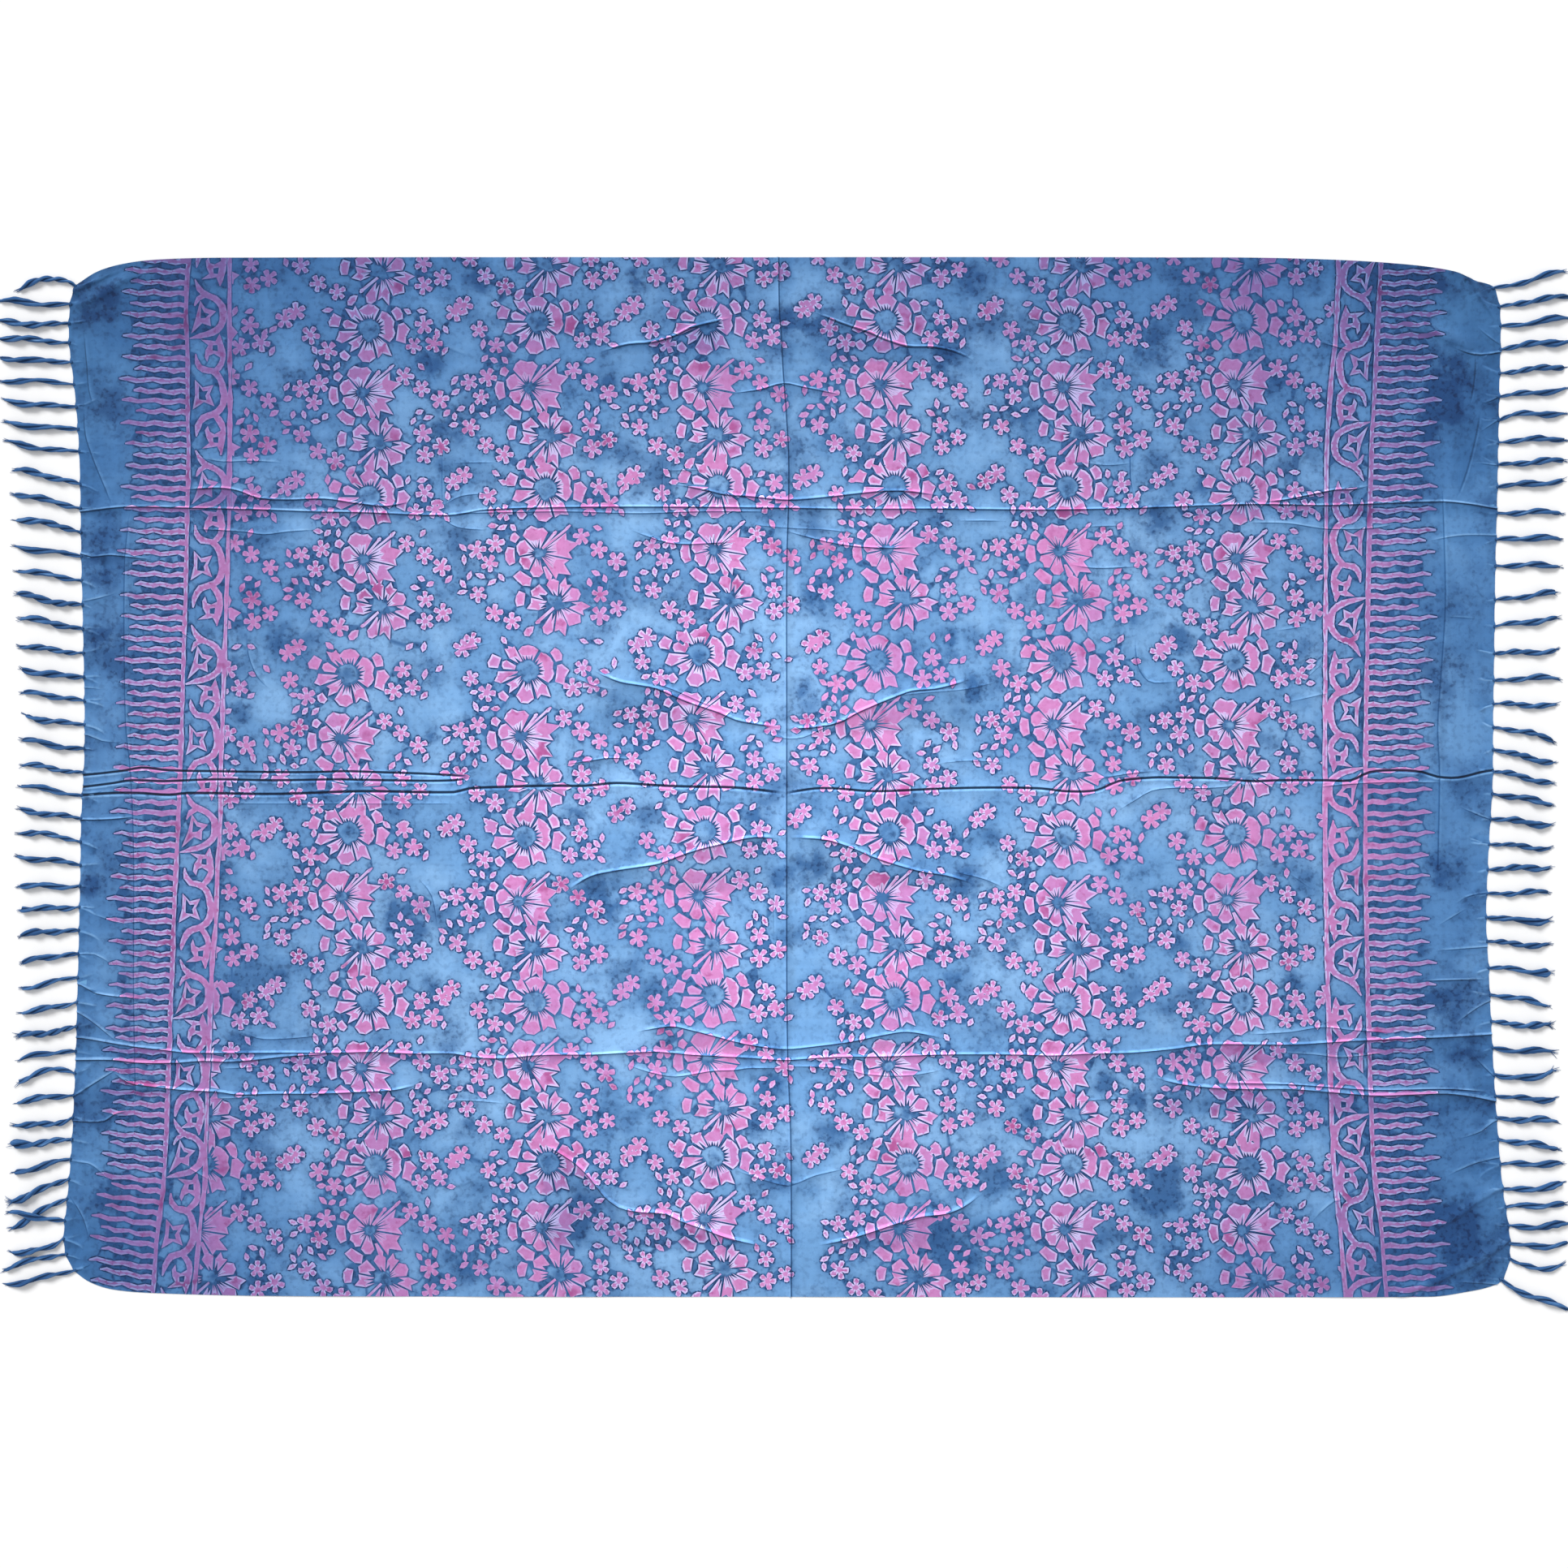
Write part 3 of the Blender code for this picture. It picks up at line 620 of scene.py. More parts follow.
@dataclass(frozen=True)
class Petal:
    """A petal between two directions, in degrees, and two distances from the blossom's middle.

    The slits are narrow cuts that run into the petal from its root, like a comb's. The depths of the cuts
    are shares of the petal's own depth.
    """

    start: float
    end: float
    inner: float
    outer: float
    rim: Rim = Rim.ROUND
    slits: int = 0

    HALF_GAP = 0.85
    MOST_PULLED = 0.5
    DEGREES_PER_POINT = 13.0
    SHOULDER = 0.62
    SWELL = 0.38
    SWELL_START = 0.14
    SWELL_SPAN = 0.72
    RAG_DEPTHS = (0.2, 0.34)
    NOTCH_DEPTH = 0.14
    SLIT_DEPTHS = (0.3, 0.5)
    ROOT_WAVE = 0.04

    def rim_edge(self, draw: random.Random) -> list[Point]:
        """The outer edge, as directions in degrees and distances from the blossom's middle."""
        depth = self.outer - self.inner
        count = max(3, round((self.end - self.start) / self.DEGREES_PER_POINT))
        edge = []
        for index in range(count + 1):
            share = index / count
            swell = math.sin(math.pi * (self.SWELL_START + self.SWELL_SPAN * share))
            reach = self.inner + depth * (self.SHOULDER + self.SWELL * swell)
            if self.rim is Rim.RAGGED and index % 2 == 1:
                reach -= depth * draw.uniform(*self.RAG_DEPTHS)
            if self.rim is Rim.NOTCHED and index == count // 2:
                reach -= depth * self.NOTCH_DEPTH
            edge.append((self.start + (self.end - self.start) * share, reach))
        return edge

    def root_edge(self, draw: random.Random) -> list[Point]:
        """The inner edge with its slits, back from the end to the start."""
        depth = self.outer - self.inner
        last = 2 * self.slits + 1
        edge = []
        for index in range(last, -1, -1):
            if 0 < index < last and index % 2 == 0:
                rise = depth * draw.uniform(*self.SLIT_DEPTHS)
            else:
                rise = depth * self.ROOT_WAVE * (index % 2)
            edge.append((self.start + (self.end - self.start) * (index / last), self.inner + rise))
        return edge

    def outline(self, draw: random.Random) -> list[Point]:
        """The petal's points about its blossom's middle.

        Args:
            draw: The source of chance for its ragged points and slits.

        Returns:
            A closed ring of points, pulled in at both sides by half of the gap between two petals.
        """
        middle = math.radians((self.start + self.end) / 2)
        half_turn = math.radians(self.end - self.start) / 2
        ring = []
        for turn, reach in [*self.rim_edge(draw), *self.root_edge(draw)]:
            angle = math.radians(turn)
            apart = abs(angle - middle)
            pulled = math.copysign(math.asin(min(self.HALF_GAP / reach, self.MOST_PULLED)), angle - middle)
            if apart < abs(pulled):
                angle = middle
            else:
                angle -= pulled * apart / half_turn
            ring.append((reach * math.cos(angle), reach * math.sin(angle)))
        return ring


Motif = tuple[Petal | Stamp, ...]

# The open blossom, seen from the front: petals that stand close together, and stamens
OPEN_BLOSSOM: Motif = (
    Petal(64, 134, 5, 31, Rim.NOTCHED, 3), Petal(134, 192, 5, 25, Rim.ROUND, 2),
    Petal(192, 244, 5, 25, Rim.NOTCHED, 3), Petal(244, 288, 6, 27, Rim.ROUND, 2),
    Petal(304, 350, 6, 43, Rim.RAGGED, 3), Petal(350, 398, 8, 46, Rim.RAGGED, 3),
    Petal(288, 304, 16, 33, Rim.ROUND), Petal(168, 206, 27, 37, Rim.ROUND),
    Petal(222, 258, 28, 40, Rim.NOTCHED), Petal(138, 158, 27, 36, Rim.ROUND),
    Stamp(Form.BAR, 12, 15, 52, 24, 4.4), Stamp(Form.BAR, 20, 18, 41, 40, 3.8),
)

# The blossom whose petals stand in a ring round a bare middle, the broadest on the right
RING_BLOSSOM: Motif = (
    Petal(-34, 58, 11, 29, Rim.NOTCHED, 5), Petal(-24, 12, 31, 45, Rim.RAGGED),
    Petal(16, 42, 31, 41, Rim.ROUND), Petal(62, 118, 12, 29, Rim.ROUND, 4),
    Petal(118, 146, 13, 37, Rim.RAGGED, 1), Petal(150, 176, 15, 31, Rim.ROUND),
    Petal(178, 204, 12, 40, Rim.NOTCHED, 1), Petal(152, 174, 34, 47, Rim.NOTCHED),
    Petal(206, 238, 10, 33, Rim.RAGGED, 2), Petal(240, 282, 12, 36, Rim.ROUND, 3),
    Petal(284, 322, 10, 38, Rim.RAGGED, 3), Petal(214, 232, 35, 44, Rim.ROUND),
)

# The blossom seen from the side, with its stem
SIDE_BLOSSOM: Motif = (
    Petal(6, 50, 5, 28, Rim.ROUND, 2), Petal(50, 86, 9, 30, Rim.RAGGED, 1),
    Petal(86, 124, 8, 28, Rim.ROUND, 1), Petal(132, 168, 15, 33, Rim.NOTCHED, 1),
    Petal(168, 204, 12, 35, Rim.RAGGED, 2), Petal(162, 186, 37, 47, Rim.ROUND),
    Petal(-26, 6, 14, 37, Rim.RAGGED, 1), Petal(-64, -26, 8, 34, Rim.NOTCHED, 2),
    Petal(236, 262, 12, 37, Rim.ROUND, 1), Petal(262, 296, 7, 38, Rim.RAGGED, 2),
    Stamp(Form.BAR, -14, -14, 222, 26, 4.4), Stamp(Form.DROP, -31, -31, 222, 15, 9),
)

# The blossoms of one repeat: each one's place from the repeat's own, and how far dark dye pools round it
REPEAT_BLOSSOMS: tuple[tuple[Motif, float, float, float], ...] = (
    (OPEN_BLOSSOM, 0.0, 0.0, 10.0),
    (RING_BLOSSOM, 9.0, 70.0, 15.0),
    (SIDE_BLOSSOM, 21.0, -54.0, 13.0),
)


@dataclass(frozen=True)
class Stroke:
    """A curved stroke of the border's scrolls: places along its middle and its width at each.

    A place is a depth in from the comb's line and a height over the middle of the repeat.
    """

    middle: tuple[Point, ...]
    widths: tuple[float, ...]


# One repeat of the scrolls, measured up from the large star
SCROLL_STROKES: tuple[Stroke, ...] = (
    Stroke(((9, 45), (11, 35), (17, 28), (27.6, 26), (35.5, 18), (39.6, 5), (40, -6), (35.7, -16),
            (27.5, -21.5), (17, -25), (11, -35), (9, -46)),
           (1.4, 5.8, 7, 6.4, 7, 8, 8, 7.4, 7, 7.4, 6.4, 1.4)),
    Stroke(((30, -22), (37, -32), (39, -43), (37.5, -54), (36, -66)), (5.8, 7, 5.8, 5.2, 1.4)),
    Stroke(((30, 26), (37, 34), (39, 44), (37.5, 55), (36, 66)), (5.8, 7, 5.8, 5.2, 1.4)),
    Stroke(((8, 127), (13, 117), (20, 110.5), (31, 106), (39.5, 97), (41, 86), (38, 76), (28, 68.5),
            (15, 65), (3, 62)), (1.4, 5.8, 7, 6.4, 7.4, 8, 7.4, 7, 5.8, 1.4)),
    Stroke(((20, 110), (13, 106), (9, 98)), (5.8, 4.6, 1.4)),
)
SCROLL_SHAPES: tuple[tuple[Point, ...], ...] = (
    ((8, 17), (16.5, 8), (28.5, 11), (24, 1), (29, -12.5), (18, -8), (5.5, -16), (8.5, 0)),
    ((22, -34), (24, -41), (29, -43), (36, -39), (38, -47), (35, -55), (36, -66), (31.5, -57), (26, -58),
     (15, -59), (23.5, -53), (20, -47), (19, -39)),
    ((22, 36), (24, 43), (29, 45), (36, 41), (38, 49), (35, 57), (36, 68), (31.5, 59), (26, 60), (15, 61),
     (23.5, 55), (20, 49), (19, 41)),
    ((15, 104), (21, 95), (33, 92), (26.5, 85), (27, 75), (18, 79), (5, 67), (11.5, 86)),
)
SCROLL_HOLES: tuple[tuple[Point, ...], ...] = (
    ((12.5, 10.5), (17, 4), (22.5, 4.5), (19.5, -1), (21, -6), (12.5, -5)),
    ((27.5, -47), (33.5, -46), (33, -53), (28, -52.5)),
    ((27.5, 49), (33.5, 48), (33, 55), (28, 54.5)),
    ((16.5, 97), (20.5, 90.5), (26, 89), (21.5, 84.5), (16, 84)),
)

# Small five-petalled flowers and loose buds round each open blossom
SMALL_FLOWERS: tuple[Point, ...] = (
    (-67, 5), (-46, 11), (-53, -11), (87, -8), (-66, -45), (88, -59), (-48, -65), (-55, 63), (-36, 46),
    (48, 18), (67, 5), (68, -44), (69, -68), (68, 74), (58, 51), (79, 55), (-83, -104), (-72, -96),
    (-27, -75),
)
LOOSE_BUDS: tuple[Point, ...] = (
    (-49, 31), (-39, 29), (-27, 29), (-51, 47), (-82, 7), (-81, -6), (-75, -24), (-63, -24), (-40, -26),
    (-50, -31), (-82, -33), (-83, -42), (64, -21), (74, -27), (57, -31), (94, -22), (66, 29), (92, 46),
    (-37, -95), (-29, -105), (51, -96), (67, -96), (84, -120), (93, 70),
)


@dataclass(frozen=True)
class BorderEdge:
    """A long line of a border: its distance along the cloth at heights from the top down."""

    heights: tuple[float, ...]
    places: tuple[float, ...]

    def at(self, height: float) -> float:
        """The line's place at a height."""
        return float(np.interp(height, self.heights[::-1], self.places[::-1]))

    def line(self, step: float) -> list[Vector]:
        """The line's points, a step apart."""
        return smooth_line(tuple(zip(self.places, self.heights)), step)


LEFT_COMB = BorderEdge(
    (600, 518, 475, 424, 347, 50, -9, -61, -121, -180, -396, -447, -490, -533, -600),
    (-653, -658, -656, -656, -655, -663, -665, -667, -670, -672, -680, -683, -689, -692, -697))
LEFT_INNER = BorderEdge((600, 327, 25, -44, -95, -154, -197, -396, -438, -473, -507, -600),
                        (-610, -610, -619, -620, -623, -625, -629, -636, -637, -641, -644, -653))
RIGHT_COMB = BorderEdge((600, 445, 363, 59, -120, -393, -447, -481, -515, -600),
                        (658, 650, 646, 640, 640, 647, 651, 656, 659, 665))
RIGHT_INNER = BorderEdge((600, 479, 459, 404, 363, 59, -120, -405, -473, -600),
                         (611, 606, 603, 599, 597, 595, 596, 604, 610, 621))

# The height of each repeat's large star
LEFT_STARS = (428, 240, 48, -137, -320, -495)
RIGHT_STARS = (460, 267, 80, -106, -301, -480)


class BatikPrint:
    """The wax print: flower motifs in the field and a border along each end, as closed shapes.

    Lengths are in millimetres, turns in degrees and areas in square millimetres.
    """

    SEED = 7
    ROUGHNESS = 0.45
    BARE_ROUGHNESS = 0.3
    SLIP = 1.6
    TURN = 2.0
    BORDER_GAP = 0.6
    SMALLEST_PETAL = 3.0
    SMALLEST_FLOWER = 12.0
    FLOWER_PETALS = 5
    FLOWER_PROFILE = ((-0.5, 3.1), (-0.37, 6.4), (-0.27, 9.6), (-0.04, 10.2), (0.22, 10.0), (0.36, 6.6))
    FLOWER_SIZES = (0.9, 1.08)
    FLOWER_SLIP = 1.0
    BUD_LENGTHS = (10.0, 13.0)
    BUD_WIDTH = 7.0
    ROW_STEP = 186.0
    FIRST_COLUMN_STEP = 190.0
    LAST_COLUMN_STEP = 192.0
    LINE_WIDTH = 5.0
    LINE_STEP = 14.0
    LINE_SHARES = (0.75, 1.2)
    TOOTH_SPACING = 11.9
    TOOTH_LENGTHS = (72.0, 59.0)
    TOOTH_SLIP = 0.8
    LENGTH_SLIP = 4.0
    TOOTH_WIDTH = 6.0
    TOOTH_SHARES = (0.8, 1.15)
    TOOTH_TAPER = 0.25
    TIP_SHARE = 0.3
    TOOTH_WAVES = 2.5
    WAVE_HEIGHT = 1.3
    TOOTH_STEPS = 8
    TOOTH_TILT = 2.5
    CORNER_TILT = 8.0
    CORNER_HEIGHT = 260.0
    COMB_MARGINS = (20.0, 10.0)
    SCROLL_STEP = 6.0

    def __init__(self) -> None:
        """Start with nothing printed."""
        self.draw = random.Random(self.SEED)
        self.inked: list[list[Point]] = []
        self.bare: list[list[Point]] = []
        self.hearts: list[tuple[float, float, float]] = []

    def make(self) -> None:
        """Print the whole cloth."""
        self.print_field()
        self.print_border(-1, LEFT_COMB, LEFT_INNER, LEFT_STARS)
        self.print_border(1, RIGHT_COMB, RIGHT_INNER, RIGHT_STARS)
        log.info("print: %d inked shapes and %d bare ones", len(self.inked), len(self.bare))

    def near(self, reach: float) -> float:
        """A chance number no farther from 0 than a reach."""
        return self.draw.uniform(-reach, reach)

    def add(self, ring: Sequence[Point], bare: bool = False) -> None:
        """Keep a shape, turned anticlockwise and roughened as hand-cut copper leaves it."""
        rough = self.ROUGHNESS * (self.BARE_ROUGHNESS if bare else 1.0)
        turned = list(ring) if signed_area(ring) > 0 else list(reversed(ring))
        moved = [(x + self.near(rough), y + self.near(rough)) for x, y in turned]
        (self.bare if bare else self.inked).append(moved)

    def add_in_field(self, ring: Sequence[Point], smallest: float) -> None:
        """Keep the part of a shape that is in the field, where it has more than the smallest area."""
        kept = self.inside_field(ring)
        if len(kept) > 2 and abs(signed_area(kept)) > smallest:
            self.add(kept)

    def inside_field(self, ring: Sequence[Point]) -> list[Point]:
        """The part of a shape between the two borders' inner lines."""
        height = sum(y for _, y in ring) / len(ring)
        clear = self.LINE_WIDTH / 2 + self.BORDER_GAP
        kept = list(ring)
        for side, limit in ((1, LEFT_INNER.at(height) + clear), (-1, RIGHT_INNER.at(height) - clear)):
            clipped: list[Point] = []
            for (x, y), (next_x, next_y) in zip(kept, [*kept[1:], *kept[:1]]):
                here, there = (x - limit) * side, (next_x - limit) * side
                if here >= 0:
                    clipped.append((x, y))
                if (here >= 0) != (there >= 0):
                    clipped.append((limit, y + (next_y - y) * here / (here - there)))
            kept = clipped
        return kept

    def stamp(self, item: Petal | Stamp, x: float, y: float, turn: float = 0.0) -> None:
        """Print one shape of a motif whose middle is at a place, turned by some degrees."""
        cosine, sine = math.cos(math.radians(turn)), math.sin(math.radians(turn))
        ring = [(x + across * cosine - up * sine, y + across * sine + up * cosine)
                for across, up in item.outline(self.draw)]
        self.add_in_field(ring, self.SMALLEST_PETAL)

    def motif(self, items: Motif, x: float, y: float, heart: float) -> None:
        """Print a whole motif about a place. Dark dye pools over its heart's radius."""
        middle_x, middle_y = (place + self.near(self.SLIP) for place in (x, y))
        turn = self.near(self.TURN)
        for item in items:
            self.stamp(item, middle_x, middle_y, turn)
        self.hearts.append((middle_x, middle_y, heart))

    def small_flower(self, x: float, y: float) -> None:
        """A flower of five blunt petals, cut in almost to its middle between them."""
        start = self.draw.uniform(0.0, 2.0 * math.pi)
        size = self.draw.uniform(*self.FLOWER_SIZES)
        ring = []
        for petal in range(self.FLOWER_PETALS):
            for turn, reach in self.FLOWER_PROFILE:
                angle = start + (petal + turn) * 2.0 * math.pi / self.FLOWER_PETALS
                ring.append((x + reach * size * math.cos(angle), y + reach * size * math.sin(angle)))
        self.add_in_field(ring, self.SMALLEST_FLOWER)

    def print_field(self) -> None:
        """Print every repeat, those that the edge or a border cuts through among them."""
        columns = [[(x - self.FIRST_COLUMN_STEP, y) for x, y in BLOSSOM_COLUMNS[0]], *BLOSSOM_COLUMNS,
                   [(x + self.LAST_COLUMN_STEP, y) for x, y in BLOSSOM_COLUMNS[-1]]]
        for column in columns:
            top_x, top_y = column[0]
            for x, y in [(top_x, top_y + self.ROW_STEP), *column]:
                self.print_repeat(x, y)

    def print_repeat(self, x: float, y: float) -> None:
        """Print one repeat: an open blossom, a ring one over it, a side one under it, and small shapes."""
        for items, across, up, heart in REPEAT_BLOSSOMS:
            self.motif(items, x + across, y + up, heart)
        for across, up in SMALL_FLOWERS:
            self.small_flower(x + across + self.near(self.FLOWER_SLIP), y + up + self.near(self.FLOWER_SLIP))
        for across, up in LOOSE_BUDS:
            turn, length = self.draw.uniform(0.0, 360.0), self.draw.uniform(*self.BUD_LENGTHS)
            self.stamp(Stamp(Form.BUD, 0.0, 0.0, turn, length, self.BUD_WIDTH), x + across, y + up)

    def print_border(self, side: int, comb: BorderEdge, inner: BorderEdge, rows: Sequence[float]) -> None:
        """Print one end's border: two lines with scrolls between them, and a comb of wavy teeth outside.

        Args:
            side: -1 at the left end of the cloth, 1 at the right.
            comb: The line that the teeth stand on.
            inner: The line next to the flowers.
            rows: The height of each repeat's large star, from the top down.
        """
        for edge in (comb, inner):
            line = edge.line(self.LINE_STEP)
            widths = [self.LINE_WIDTH * self.draw.uniform(*self.LINE_SHARES) for _ in line]
            self.add(tapered(line, widths))
        height = min(comb.heights) + self.COMB_MARGINS[0]
        count = 0
        while height < max(comb.heights) - self.COMB_MARGINS[1]:
            length = self.TOOTH_LENGTHS[count % 2] + self.near(self.LENGTH_SLIP)
            self.tooth(side, comb.at(height), height + self.near(self.TOOTH_SLIP), length)
            height += self.TOOTH_SPACING
            count += 1
        for height in (rows[0] + self.ROW_STEP, *rows, rows[-1] - self.ROW_STEP):
            self.scroll(side, comb, height)

    def tooth(self, side: int, root: float, height: float, length: float) -> None:
        """One wavy tooth of the comb, tapered to its tip. Those by the lower left corner tilt more."""
        phase = self.near(self.TOOTH_SLIP)
        tilt = self.TOOTH_TILT
        if side < 0:
            tilt += self.CORNER_TILT * float(ease((-height - self.CORNER_HEIGHT) / self.CORNER_HEIGHT))
        shares = [step / self.TOOTH_STEPS for step in range(self.TOOTH_STEPS + 1)]
        line = []
        for share in shares:
            wave = self.WAVE_HEIGHT * math.sin(share * self.TOOTH_WAVES * 2.0 * math.pi + phase)
            line.append(Vector((root + side * length * share, height + wave + tilt * share)))
        widths = [self.TOOTH_WIDTH * (1.0 - self.TOOTH_TAPER * share) * self.draw.uniform(*self.TOOTH_SHARES)
                  for share in shares]
        self.add(tapered(line, [*widths[:-1], self.TOOTH_WIDTH * self.TIP_SHARE]))

    def scroll(self, side: int, comb: BorderEdge, height: float) -> None:
        """Print one repeat of a border's scrolls. The right end's are the left end's turned half round.

        Args:
            side: -1 at the left end of the cloth, 1 at the right.
            comb: The line that the teeth stand on.
            height: The height of the repeat's large star.
        """
        def place(spot: Point) -> Point:
            """Where a depth and a height of the repeat fall on the cloth."""
            level = height - side * spot[1]
            return (comb.at(level) - side * spot[0], level)

        for stroke in SCROLL_STROKES:
            middle = smooth_line([place(spot) for spot in stroke.middle], self.SCROLL_STEP)
            runs = np.linspace(0.0, 1.0, len(middle))
            widths = np.interp(runs, np.linspace(0.0, 1.0, len(stroke.widths)), stroke.widths)
            self.add(tapered(middle, widths))
        for shape in SCROLL_SHAPES:
            self.add([place(spot) for spot in shape])
        for hole in SCROLL_HOLES:
            self.add([place(spot) for spot in hole], bare=True)


# Outline points farther along the cloth than this, either way, are on one of its ends
END_PLACE = 700


@dataclass(frozen=True)
class Grid:
    """A grid of places: how far apart they are, its lower left corner, its size, and its unevenness.

    The rows' distance and the unevenness are shares of the step.
    """

    step: float
    corner: Point
    width: float
    height: float
    row_share: float = 1.0
    jitter: float = 0.0

    def places(self, draw: random.Random) -> Iterator[Point]:
        """Go through the places, row by row. Every other row is half a step further on."""
        for row in range(int(self.height / (self.step * self.row_share))):
            for column in range(int(self.width / self.step)):
                x = self.corner[0] + (column + 0.5 * (row % 2)) * self.step
                y = self.corner[1] + row * self.step * self.row_share
                if self.jitter:
                    x += draw.uniform(-self.jitter, self.jitter) * self.step
                    y += draw.uniform(-self.jitter, self.jitter) * self.step
                yield x, y


@dataclass
class Cloth:
    """The cloth: a thin shell with every crease standing up from it and the print as faces of its own.

    Lengths are in millimetres. The two box sizes are half ones, about the cloth's middle height.
    """

    shift: Vector
    roots: tuple[tuple[int, float], ...]
    ink: BatikPrint
    thickness: float = 0.8
    under_rise: float = 0.9
    edge_step: float = 4.5
    print_step: float = 2.0
    crease_step: float = 7.5
    pucker_step: float = 5.0
    under_crease_step: float = 14.0
    close_grid: float = 7.2
    wide_grid: float = 13.0
    under_grid: float = 24.0
    print_gap: float = 2.2
    close_reach: float = 7.0
    crease_gap: float = 3.0
    under_crease_gap: float = 8.0
    under_crease_box: Point = (780, 570)
    under_crease_margin: float = 6.0
    under_grid_box: Point = (775, 562)
    under_grid_margin: float = 10.0
    middle_height: float = 6.0
    merge_distance: float = 1e-4
    tall_crease: float = 2.5
    blend: float = 3.0
    pull: float = 1.8
    pull_width: float = 3.6
    pull_reach: float = 12.0
    slack_height: float = 1.3
    slack_share: float = 0.12
    slack_size: tuple[float, float] = (95.0, 70.0)
    slack_seed: float = 3.7
    # How much the creases' painted highlight lightens the colour, and how much their painted shade darkens it
    painted_highlight_gain: float = 0.85
    painted_shade_loss: float = 0.88
    pool_width: float = 0.95
    pool_reach: float = 3.0
    heart_strength: float = 0.8
    most_pooled: float = 1.2
    seed: int = 11
    far_from_print: float = 16.0
    sharp_angle: float = 80.0

    PUCKER_COUNTS = (1, 1, 2)
    PUCKER_LENGTHS = (9.0, 24.0)
    PUCKER_LEANS = (-0.45, 0.45)
    PUCKER_HEIGHTS = (0.7, 1.5)
    PUCKER_WIDTHS = (1.6, 2.4)
    PUCKER_RIGHT_SHARE = 0.8
    PUCKER_START = 3.0
    PUCKER_BEND = 1.3
    PUCKER_RUN_OUT = 7.0
    # Painted light falloff, as factors of the colour along the cloth and across it
    PAINTED_LIGHT_ALONG = ((-790, -700, -600, -350, 0, 350, 600, 700, 790),
                  (0.62, 0.78, 0.87, 1.07, 1.23, 1.07, 0.91, 0.74, 0.63))
    PAINTED_LIGHT_ACROSS = ((-560, -460, -280, -90, 90, 270, 460, 575),
                   (0.79, 0.88, 0.96, 1.0, 1.0, 0.92, 0.74, 0.61))

    def build(self) -> bpy.types.Object:
        """Make the cloth's mesh and dress it.

        Returns:
            The finished piece.
        """
        self.draw = random.Random(self.seed)
        self.creases = [*CREASES, *self.root_puckers()]
        outline = self.outline()
        self.print_edges = self.tree(
            [sample for ring in self.ink.inked + self.ink.bare
             for sample in spaced_samples(ring, self.print_step)])
        top, top_faces, inks = self.top_sheet(outline)
        rim = self.rim_loop(top_faces)
        under, under_faces = self.under_sheet(top[rim])
        (top_rise, top_painted_light), (under_rise, under_painted_light) = self.effects(top), self.effects(under)
        corners = np.vstack([
            np.column_stack([top, top_rise + self.thickness]),
            np.column_stack([under, under_rise * self.under_rise])])
        first = len(top)
        faces = [tuple(face) for face in top_faces]
        faces += [(first + c, first + b, first + a) for a, b, c in under_faces]
        # the underside's first corners are the rim's, in the same order
        for index, corner in enumerate(rim):
            following = (index + 1) % len(rim)
            faces.append((corner, first + index, first + following, int(rim[following])))
        places = corners[:, :2]
        corners = corners + np.array([self.shift.x, self.shift.y, 0.0])
        piece = new_piece("cloth_sheet", corners, faces)
        store(piece.data, "edge", self.distance_to_print(places))
        store(piece.data, "rims", self.rim_distances(piece.data, top, top_faces, inks), "CORNER")
        store(piece.data, "pool", self.dye_pools(places))
        # Painted light: the creases' painted highlight and shade, times the painted light falloff
        store(piece.data, "painted_light", np.concatenate([top_painted_light, under_painted_light]) * self.painted_light_falloff(places))
        slots = np.zeros(len(faces), dtype=np.int32)
        slots[:len(inks)] = inks
        slots[len(inks):len(inks) + len(under_faces)] = 2
        for dye in (GROUND_DYE, PRINT_DYE, UNDER_DYE):
            piece.data.materials.append(dye.material())
        piece.data.polygons.foreach_set("material_index", slots)
        piece.data.set_sharp_from_angle(angle=math.radians(self.sharp_angle))
        return piece

    def outline(self) -> list[Point]:
        """The cloth's edge, drawn out a little where each cord's threads leave it."""
        ring = []
        for point in smooth_line(OUTLINE, self.edge_step, closed=True):
            pulled = 0.0
            for side, height in self.roots:
                if point.x * side > END_PLACE and abs(point.y - height) < self.pull_reach:
                    pulled += side * self.pull * math.exp(-((point.y - height) / self.pull_width) ** 2)
            ring.append((point.x + pulled, point.y))
        return ring

    def root_puckers(self) -> list[Crease]:
        """Short puckers that run into the cloth from each cord's root."""
        puckers = []
        edge = smooth_line(OUTLINE, self.edge_step, closed=True)
        for side, height in self.roots:
            end = [point for point in edge if point.x * side > END_PLACE]
            root = min(end, key=lambda point: abs(point.y - height))
            for _ in range(self.draw.choice(self.PUCKER_COUNTS)):
                length = self.draw.uniform(*self.PUCKER_LENGTHS)
                lean = self.draw.uniform(*self.PUCKER_LEANS)
                rise = self.draw.uniform(*self.PUCKER_HEIGHTS)
                width = self.draw.uniform(*self.PUCKER_WIDTHS)
                route = ((root.x + side * self.PUCKER_START, height),
                         (root.x - side * length / 2, height + lean * length / 2),
                         (root.x - side * length, height + lean * length * self.PUCKER_BEND))
                puckers.append(Crease(Fold.RIDGE, rise, width, width * self.PUCKER_RIGHT_SHARE, route,
                                      self.PUCKER_RUN_OUT))
        return puckers

    @staticmethod
    def tree(samples: Sequence[Point]) -> KDTree:
        """A search tree of places."""
        tree = KDTree(len(samples))
        for index, (x, y) in enumerate(samples):
            tree.insert((x, y, 0.0), index)
        tree.balance()
        return tree

